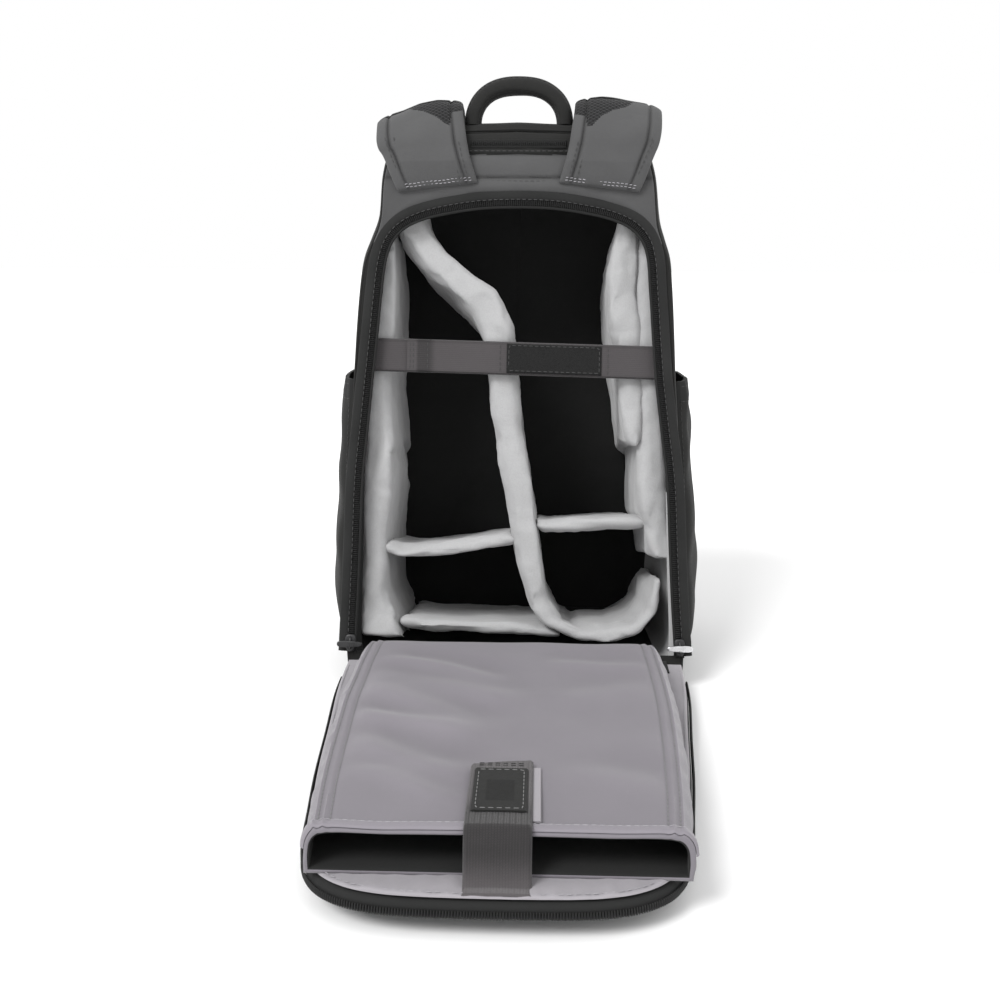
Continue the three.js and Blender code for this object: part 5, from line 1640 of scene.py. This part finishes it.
    def layer(name, start, end, left, right, lift, thickness, material, slot, node, rests, mark=0):
        distance = np.linspace(start, end, 50)
        flat = on_flap((left + right) / 2, distance, sleeve_crown(distance) + lift)
        form = sweep(flat, np.broadcast_to(ACROSS, flat.shape), np.broadcast_to((0.0, 0, 1), flat.shape),
                     strip_section((right - left) / 2, thickness, 32, 0.1))
        centre = (np.abs(form[..., 0] - (left + right) / 2) < 7.8) & (
            np.abs(-BASE_DEPTH / 2 - form[..., 1] - (start + end) / 2 - 2) < 12)
        piece = skin(name, form, material, slot, (node,), upright=False, shade=mark * centre)

    layer("strap_backing", LAPTOP_STRAP_TOP + 2, SLEEVE_END - HEM_WIDTH - 2 * GAP,
          LAPTOP_STRAP_HALF_WIDTH - 12, LAPTOP_STRAP_HALF_WIDTH + 3, GAP + 0.4, 1.0, LINING,
          "lining_fabric", "laptop_strap_backing", "sleeve_cloth")
    lift = seat_up + WEBBING_THICKNESS + GAP + 0.5
    layer("bare_patch", LABEL_START, LABEL_END, LAPTOP_STRAP_MIDDLE - LABEL_HALF_WIDTH,
          LAPTOP_STRAP_MIDDLE + LABEL_HALF_WIDTH, lift, 1.0, SHELL, "black_fabric", "strap_patch",
          "sleeve_strap", -0.5)
    frame_runs = []
    for inset in (2.2,):
        x = LABEL_HALF_WIDTH - inset
        a, b = LABEL_START + inset, LABEL_END - inset
        corners = resample(np.array([(-x, a), (x, a), (x, b), (-x, b), (-x, a)]), 160)
        frame_runs.append((on_flap(corners[:, 0] + LAPTOP_STRAP_MIDDLE, corners[:, 1],
                                   sleeve_crown(corners[:, 1]) + lift + 1.15), (0, 0, 1)))
    stitches("patch_stitches", frame_runs, GREY_THREAD, "black_fabric", upright=False, radius=0.28)


def strap_route():
    seat = SKIN_TOP + 2 * GAP
    top_edge = along_at(BODY_HEIGHT)
    points = [on_back(0, lerp(STRAP_START, top_edge, share), seat + share * share)
              for share in (0, 0.3, 0.6, 0.85)]
    for depth, lift in STRAP_OVER_TOP:
        z = BODY_HEIGHT * look_up(BODY_DEPTHS, 2, depth) + seat + STRAP_LIFT * lift
        points.append((0, lerp(back_y(BODY_HEIGHT), front_y(BODY_HEIGHT), depth), z))
    for share in (0.9, 0.8, 0.7, 0.6, STRAP_END):
        z = BODY_HEIGHT * share
        points.append((0, front_y(z) + FRONT_PAD_THICKNESS + 2 * GAP, z))
    return spline(points, 420)


def strap_frames(route, start, end, count):
    """Places, ways out and shares along a stretch of the strap's route."""
    along = lengths(route) / lengths(route)[-1]
    shares = np.linspace(start, end, count)
    path = np.stack([np.interp(shares, along, route[:, axis]) for axis in range(3)], axis=1)
    tangents = path_frames(path)
    out = np.stack([0 * shares, -tangents[:, 2], tangents[:, 1]], axis=1)
    return path, out / np.linalg.norm(out, axis=1, keepdims=True), shares


SMOOTH_STRAP = spline(STRAP_SHAPE, 200)


def padded_section(half, thickness, groove, count=72):
    """Section of a padded strap with a welt along each side. Columns: across, out."""
    turn = np.linspace(-1, 1, count)
    across = np.sign(turn) * (1 - (1 - np.abs(turn)) ** 1.6)
    dome = np.clip(1 - np.abs(across) ** 5, 0, 1) ** 0.42
    groove_dip = bump(np.abs(across), WELT_SHARE, 0.035)
    top = thickness * (0.46 + 0.54 * dome) - groove * groove_dip
    low = thickness * 0.40 * (1 - np.clip(1 - np.abs(across) ** 8, 0, 1) ** 0.5)
    upper = np.stack([across * half, top], axis=1)
    lower = np.stack([across * half, low], axis=1)[::-1][1:-1]
    return np.concatenate([upper, lower])


def padded_column(share, count=72):
    """Column of a padded section that lies nearest to a share of its half width."""
    return np.abs(padded_section(1, 1, 0, count)[:count, 0] + share).argmin()


def make_harness():
    """Shoulder straps over the top: grey sewn base, black padded run, lock, webbing and anchor."""
    route = strap_route()
    reach = lengths(route)[-1]
    top_edge = along_at(BODY_HEIGHT)
    crest = (STRAP_LIFT + top_edge - STRAP_START + STRAP_THICKNESS / 2) / reach
    for side, sign, column in (("left", -1, 1), ("right", 1, 2)):
        def forms(start, end, count, groove, puff):
            path, out, shares = strap_frames(route, start, end, count)
            half = look_up(SMOOTH_STRAP, 2, shares * reach)
            offset = sign * look_up(SMOOTH_STRAP, 1, shares * reach)
            path = path + np.stack([offset, 0 * offset, 0 * offset], axis=1)
            rows = [padded_section(width, STRAP_THICKNESS, groove) for width in half]
            return path, out, shares, half, np.array(rows) * puff[:, None, None] ** (0, 1)

        def droop(rings, sections, half, distance):
            outward = sign * sections[..., 0] / half[:, None]
            place = smoothstep(18, 50, distance) * smoothstep(175, 95, distance)
            rings[..., 2] -= look_up(STRAP_DROOP, column, outward) * place[:, None]

        count = 130
        steps = np.linspace(0, 1, count)
        rise = 0.24 + 0.76 * np.sqrt(np.clip(steps / 0.30, 0, 1))
        path, out, shares, half, sections = forms(0.0005, crest, count, 1.7, rise)
        distance = shares * reach
        swell = 0.9 * np.sin(np.clip((distance - 4) / 46, 0, 1) * math.pi)
        middle = np.clip(1 - (np.abs(sections[..., 0]) / (half[:, None] * WELT_SHARE)) ** 8, 0, 1)
        above = sections[..., 1] > 2
        sections[..., 1] += np.where(above, middle * swell[:, None], 0)
        rings = sweep(path, np.broadcast_to(ACROSS, path.shape), out, sections)
        rings += (-sign * sections[..., 0] * STRAP_ROOT_SLANT * smoothstep(
            26, 0, distance)[:, None])[..., None] * UP_BACK
        droop(rings, sections, half, distance)
        rings += (ripple(rings, 26, 101 + sign) * 0.35 * above)[..., None] * out[:, None]
        groove = bump(np.abs(sections[..., 0]) / half[:, None], WELT_SHARE, 0.04)
        # Painted shade in the welt grooves.
        shade = -0.42 * groove * above

        def past_edge(middles):
            share = -sign * (middles[..., 0] + 1.6 - sign * 76.5) / STRAP_HALF_WIDTH
            edge = look_up(GREY_EDGE, column, share)
            return (middles[..., 2] > edge).astype(np.int32)

        base = skin(f"strap_grey_{side}", rings, GREY, "grey_fabric", (f"strap_base_{side}",),
                    shade=shade, finish=(AIR_MESH, past_edge))
        runs = []
        for share in (-0.82, -0.62, 0.62, 0.82):
            lift = STRAP_THICKNESS * rise * 0.97
            line = path + ACROSS * (half * share)[:, None] + out * (lift + 0.1)[:, None]
            runs.append((line[9:80], out[9:80]))
        stitches(f"strap_grey_stitches_{side}", runs, DARK_THREAD, "grey_fabric")
        zigzag = []
        for at in (1.6, 3.6):
            index = np.abs(distance - at).argmin()
            across = np.linspace(-0.88, 0.88, 64) * half[index]
            wiggle = 0.8 * (np.arange(64) % 2) - sign * across * STRAP_ROOT_SLANT
            top = STRAP_THICKNESS * rise[index] * (0.5 + 0.5 * np.clip(1 - np.abs(
                across / half[index]) ** 5, 0, 1) ** 0.42)
            spot = path[index] + ACROSS * across[:, None] + out[index] * (top[:, None] + 0.2)
            zigzag.append((spot + np.outer(wiggle, UP_BACK), out[index]))
        stitches(f"strap_root_stitches_{side}", zigzag, PALE_THREAD, "grey_fabric", radius=0.3)

        count = 120
        path, out, shares, half, sections = forms(crest + GAP / reach, 1, count, 1.3,
                                                  0.96 + 0 * np.linspace(0, 1, count))
        fade = np.minimum(1, (1 - shares) * reach / 6)[:, None, None]
        sections = sections * (0.3 + 0.7 * np.sqrt(np.clip(fade, 0, 1))) ** (0, 1)
        rings = sweep(path, np.broadcast_to(ACROSS, path.shape), out, sections)
        droop(rings, sections, half, shares * reach)
        above = sections[..., 1] > 3
        rings += (ripple(rings, 32, 111 + sign) * 0.4 * above)[..., None] * out[:, None]
        edge = np.abs(sections[..., 0]) / half[:, None]

        # Painted shade in the welt grooves.
        pad = skin(f"strap_mesh_{side}", rings, AIR_MESH, "air_mesh", (f"strap_pad_{side}",),
                   shade=-0.2 * bump(edge, WELT_SHARE, 0.04))
        runs = []
        seam = padded_column(0.8)
        for index in (seam, 71 - seam):
            runs.append((rings[49:-3, index] + out[49:-3] * 0.1, out[49:-3]))
        stitches(f"strap_mesh_stitches_{side}", runs, DARK_THREAD, "air_mesh")
        make_lock(side, sign * STRAP_SPREAD * 1.1)


def make_lock(side, x):
    """Ladder lock below a strap, its webbing and the sewn anchor."""
    lock_top = BODY_HEIGHT * STRAP_END - GAP
    seat = FRONT_PAD_THICKNESS + 2 * GAP
    tilt = FRONT_LEAN

    def place(across, down, out):
        across, down, out = np.broadcast_arrays(across, down, out)
        z = lock_top - down * math.cos(tilt) - (out + 1) * math.sin(tilt)
        y = front_y(lock_top) + seat + (out + 1) * math.cos(tilt) - down * math.sin(tilt)
        return np.stack([x + across, y, z], axis=-1)

    parts = []
    half = LOCK_HALF_WIDTH

    def bar(start, end, width, height):
        ends = [place(*start), place(*end)]
        way = (ends[1] - ends[0]) / np.linalg.norm(ends[1] - ends[0])
        out = place(0, 0, 1) - place(0, 0, 0)
        side_way = np.cross(way, out)
        section = [(0, width * 0.7, height * 0.6), (0.04, width, height), (0.5, width, height * 0.96),
                   (0.96, width, height), (1, width * 0.7, height * 0.6)]
        parts.append(stub(ends[0], ends[1], side_way, out, section))

    for across in (-half + 1.6, half - 1.6):
        bar((across, 0.4, 2.5), (across, LOCK_HEIGHT - 0.4, 2.5), 1.6, 2.5)
    for down, width, height in ((1.6, 1.7, 2.3), (9.6, 1.5, 2.0), (LOCK_HEIGHT - 1.8, 1.8, 2.4)):
        bar((-half + 1.2, down, 2.5), (half - 1.2, down, 2.5), width, height)
    for across in np.linspace(-10, 10, 6):
        bar((across, 8.6, 4.3), (across, 10.6, 4.3), 0.35, 0.35)
    joined(f"lock_{side}", parts, PLASTIC, "dark_hardware", (f"ladder_lock_{side}",))

    high = lock_top - LOCK_HEIGHT - 2 * GAP
    low = BODY_HEIGHT * HARNESS_WEBBING_END
    for name, node, top, bottom, width, lift in (
            ("webbing", "strap_webbing", high, low, HARNESS_WEBBING_HALF_WIDTH, GAP),
            ("anchor", "strap_anchor", low + LOCK_HEIGHT, low - GAP, HARNESS_WEBBING_HALF_WIDTH * 1.3,
             WEBBING_THICKNESS + 2 * GAP)):
        z = np.linspace(top, bottom, 80 if name == "webbing" else 24)
        path = np.stack([np.full_like(z, x), front_y(z) + FRONT_PAD_THICKNESS + lift, z], axis=1)
        out = np.broadcast_to((0.0, 1.0, 0.0), path.shape)
        rings = sweep(path, np.broadcast_to(ACROSS, path.shape), out,
                      strip_section(width, WEBBING_THICKNESS, 20))
        piece = skin(f"{name}_{side}", rings, WEBBING, "webbing", (f"{node}_{side}",))
    bottom, top = low + 1.5, low + LOCK_HEIGHT - 2
    inset = HARNESS_WEBBING_HALF_WIDTH * 1.3 - 2
    corners = [(-inset, bottom), (inset, bottom), (inset, top), (-inset, top), (-inset, bottom),
               (inset, top)]
    box_line = resample(np.array(corners, float), 120)
    cross = resample(np.array([(inset, bottom), (-inset, top)], float), 30)
    runs = [(np.stack([x + line[:, 0], front_y(line[:, 1]) + FRONT_PAD_THICKNESS + 4.0, line[:, 1]], 1),
             (0, 1, 0)) for line in (box_line, cross)]
    stitches(f"anchor_stitches_{side}", runs, DARK_THREAD, "webbing")


def make_handle():
    """Padded grab handle, a flat arch with a seam along each edge."""
    foot = back_y(BODY_HEIGHT) + HANDLE_SETBACK
    depth = HANDLE_SETBACK / (front_y(BODY_HEIGHT) - back_y(BODY_HEIGHT))
    low = BODY_HEIGHT * look_up(BODY_DEPTHS, 2, depth) * HANDLE_SEAT + SKIN_TOP + GAP
    turn = np.linspace(0, math.pi, 80)
    bend = np.stack([-np.cos(turn), np.sin(turn)], axis=1)
    centre = np.stack([HANDLE_HALF_SPAN * np.sign(bend[:, 0]) * np.abs(bend[:, 0]) ** 0.85,
                       low + HANDLE_RISE * np.abs(bend[:, 1]) ** 0.9], axis=1)
    corner = np.arange(40) * 2 * math.pi / 40
    c, s = np.cos(corner), np.sin(corner)
    out = np.sign(c) * np.abs(c) ** 0.8 * HANDLE_THICKNESS / 2
    wide = np.sign(s) * np.abs(s) ** 0.62 * HANDLE_DEPTH / 2
    crown = 1 + 0.06 * np.sin(turn)[:, None]
    squeeze = 1 - 0.14 * bump(np.abs(wide), HANDLE_DEPTH * 0.36, 1.2)[None, :]
    across = out[None, :] * squeeze * crown
    rings = np.stack([centre[:, :1] + bend[:, :1] * across,
                      foot + np.broadcast_to(wide, across.shape),
                      centre[:, 1:] + bend[:, 1:] * across], axis=-1)
    rings += ripple(rings, 22, 121)[..., None] * (0, 0.2, 0.25)
    rings[..., 2] = np.maximum(rings[..., 2], low - 0.0)
    handle = skin("handle_cover", rings, SHELL, "black_fabric", ("top_handle",))
    runs = []
    for sign in (-1, 1):
        line = np.stack([centre[:, 0] + bend[:, 0] * HANDLE_THICKNESS * 0.44,
                         foot + sign * HANDLE_DEPTH * 0.36 + 0 * turn,
                         centre[:, 1] + bend[:, 1] * HANDLE_THICKNESS * 0.44], axis=1)
        way = np.stack([bend[:, 0], 0 * turn, bend[:, 1]], axis=1)
        runs.append((line[3:-3], way[3:-3]))
    stitches("handle_stitches", runs, DARK_THREAD, "black_fabric")


def make_camera():
    camera = bpy.data.objects.new("camera", bpy.data.cameras.new("camera"))
    camera.data.lens = CAMERA_LENS
    camera.data.sensor_width = 36
    camera.data.clip_end = 50
    forward = Vector((math.sin(CAMERA_YAW) * math.cos(CAMERA_PITCH),
                      math.cos(CAMERA_YAW) * math.cos(CAMERA_PITCH), -math.sin(CAMERA_PITCH)))
    level = Vector((math.cos(CAMERA_YAW), -math.sin(CAMERA_YAW), 0))
    upward = level.cross(forward)
    right = math.cos(CAMERA_ROLL) * level + math.sin(CAMERA_ROLL) * upward
    up = -math.sin(CAMERA_ROLL) * level + math.cos(CAMERA_ROLL) * upward
    turn = Matrix((right, up, -forward)).transposed().to_4x4()
    camera.matrix_world = Matrix.Translation(Vector(CAMERA_PLACE) * MM) @ turn
    bpy.context.scene.collection.objects.link(camera)
    bpy.context.scene.camera = camera


def make_stage():
    """Pale floor, white surroundings and soft lights."""
    floor_mesh = bpy.data.meshes.new("floor")
    reach = 12
    floor_mesh.from_pydata([(-reach, -reach, 0), (reach, -reach, 0), (reach, reach, 0),
                            (-reach, reach, 0)], [], [(0, 1, 2, 3)])
    n = Finish("floor_paint")
    place = n.add("ShaderNodeTexCoord").outputs["Object"]
    factor = n.math("MULTIPLY_ADD", n.noise(place, 400), 0.02, 0.99)
    floor_mesh.materials.append(n.set(Base_Color=n.colour(FLOOR_COLOUR, factor), Roughness=0.9))
    floor = bpy.data.objects.new("floor", floor_mesh)
    bpy.context.scene.collection.objects.link(floor)

    world = bpy.data.worlds.new("surroundings")
    world.use_nodes = True
    world.node_tree.nodes["Background"].inputs["Color"].default_value = (1, 1, 1, 1)
    world.node_tree.nodes["Background"].inputs["Strength"].default_value = WORLD_STRENGTH
    bpy.context.scene.world = world
    bpy.context.scene.view_settings.view_transform = "Standard"
    for name, direction, angle, strength in LIGHTS:
        lamp = bpy.data.lights.new(name, "SUN")
        lamp.angle = math.radians(angle)
        lamp.energy = strength
        light = bpy.data.objects.new(name, lamp)
        light.rotation_euler = (-Vector(direction)).to_track_quat("-Z", "Y").to_euler()
        bpy.context.scene.collection.objects.link(light)


FLOOR_COLOUR = (0.86, 0.86, 0.86)
WORLD_STRENGTH = 1.0
# Columns: name, direction that the light comes from, angle across, strength
LIGHTS = [
    ("key_light", (-0.75, -0.9, 1.2), 24, 2.4),
    ("fill_light", (1.0, -0.5, 0.9), 60, 0.5),
]

make_camera()
make_shell()
make_base()
make_front()
make_tray()
make_yoke()
make_zip()
make_sliders()
make_pockets()
make_inside()
make_flap()
make_sleeve()
make_harness()
make_handle()
make_stage()
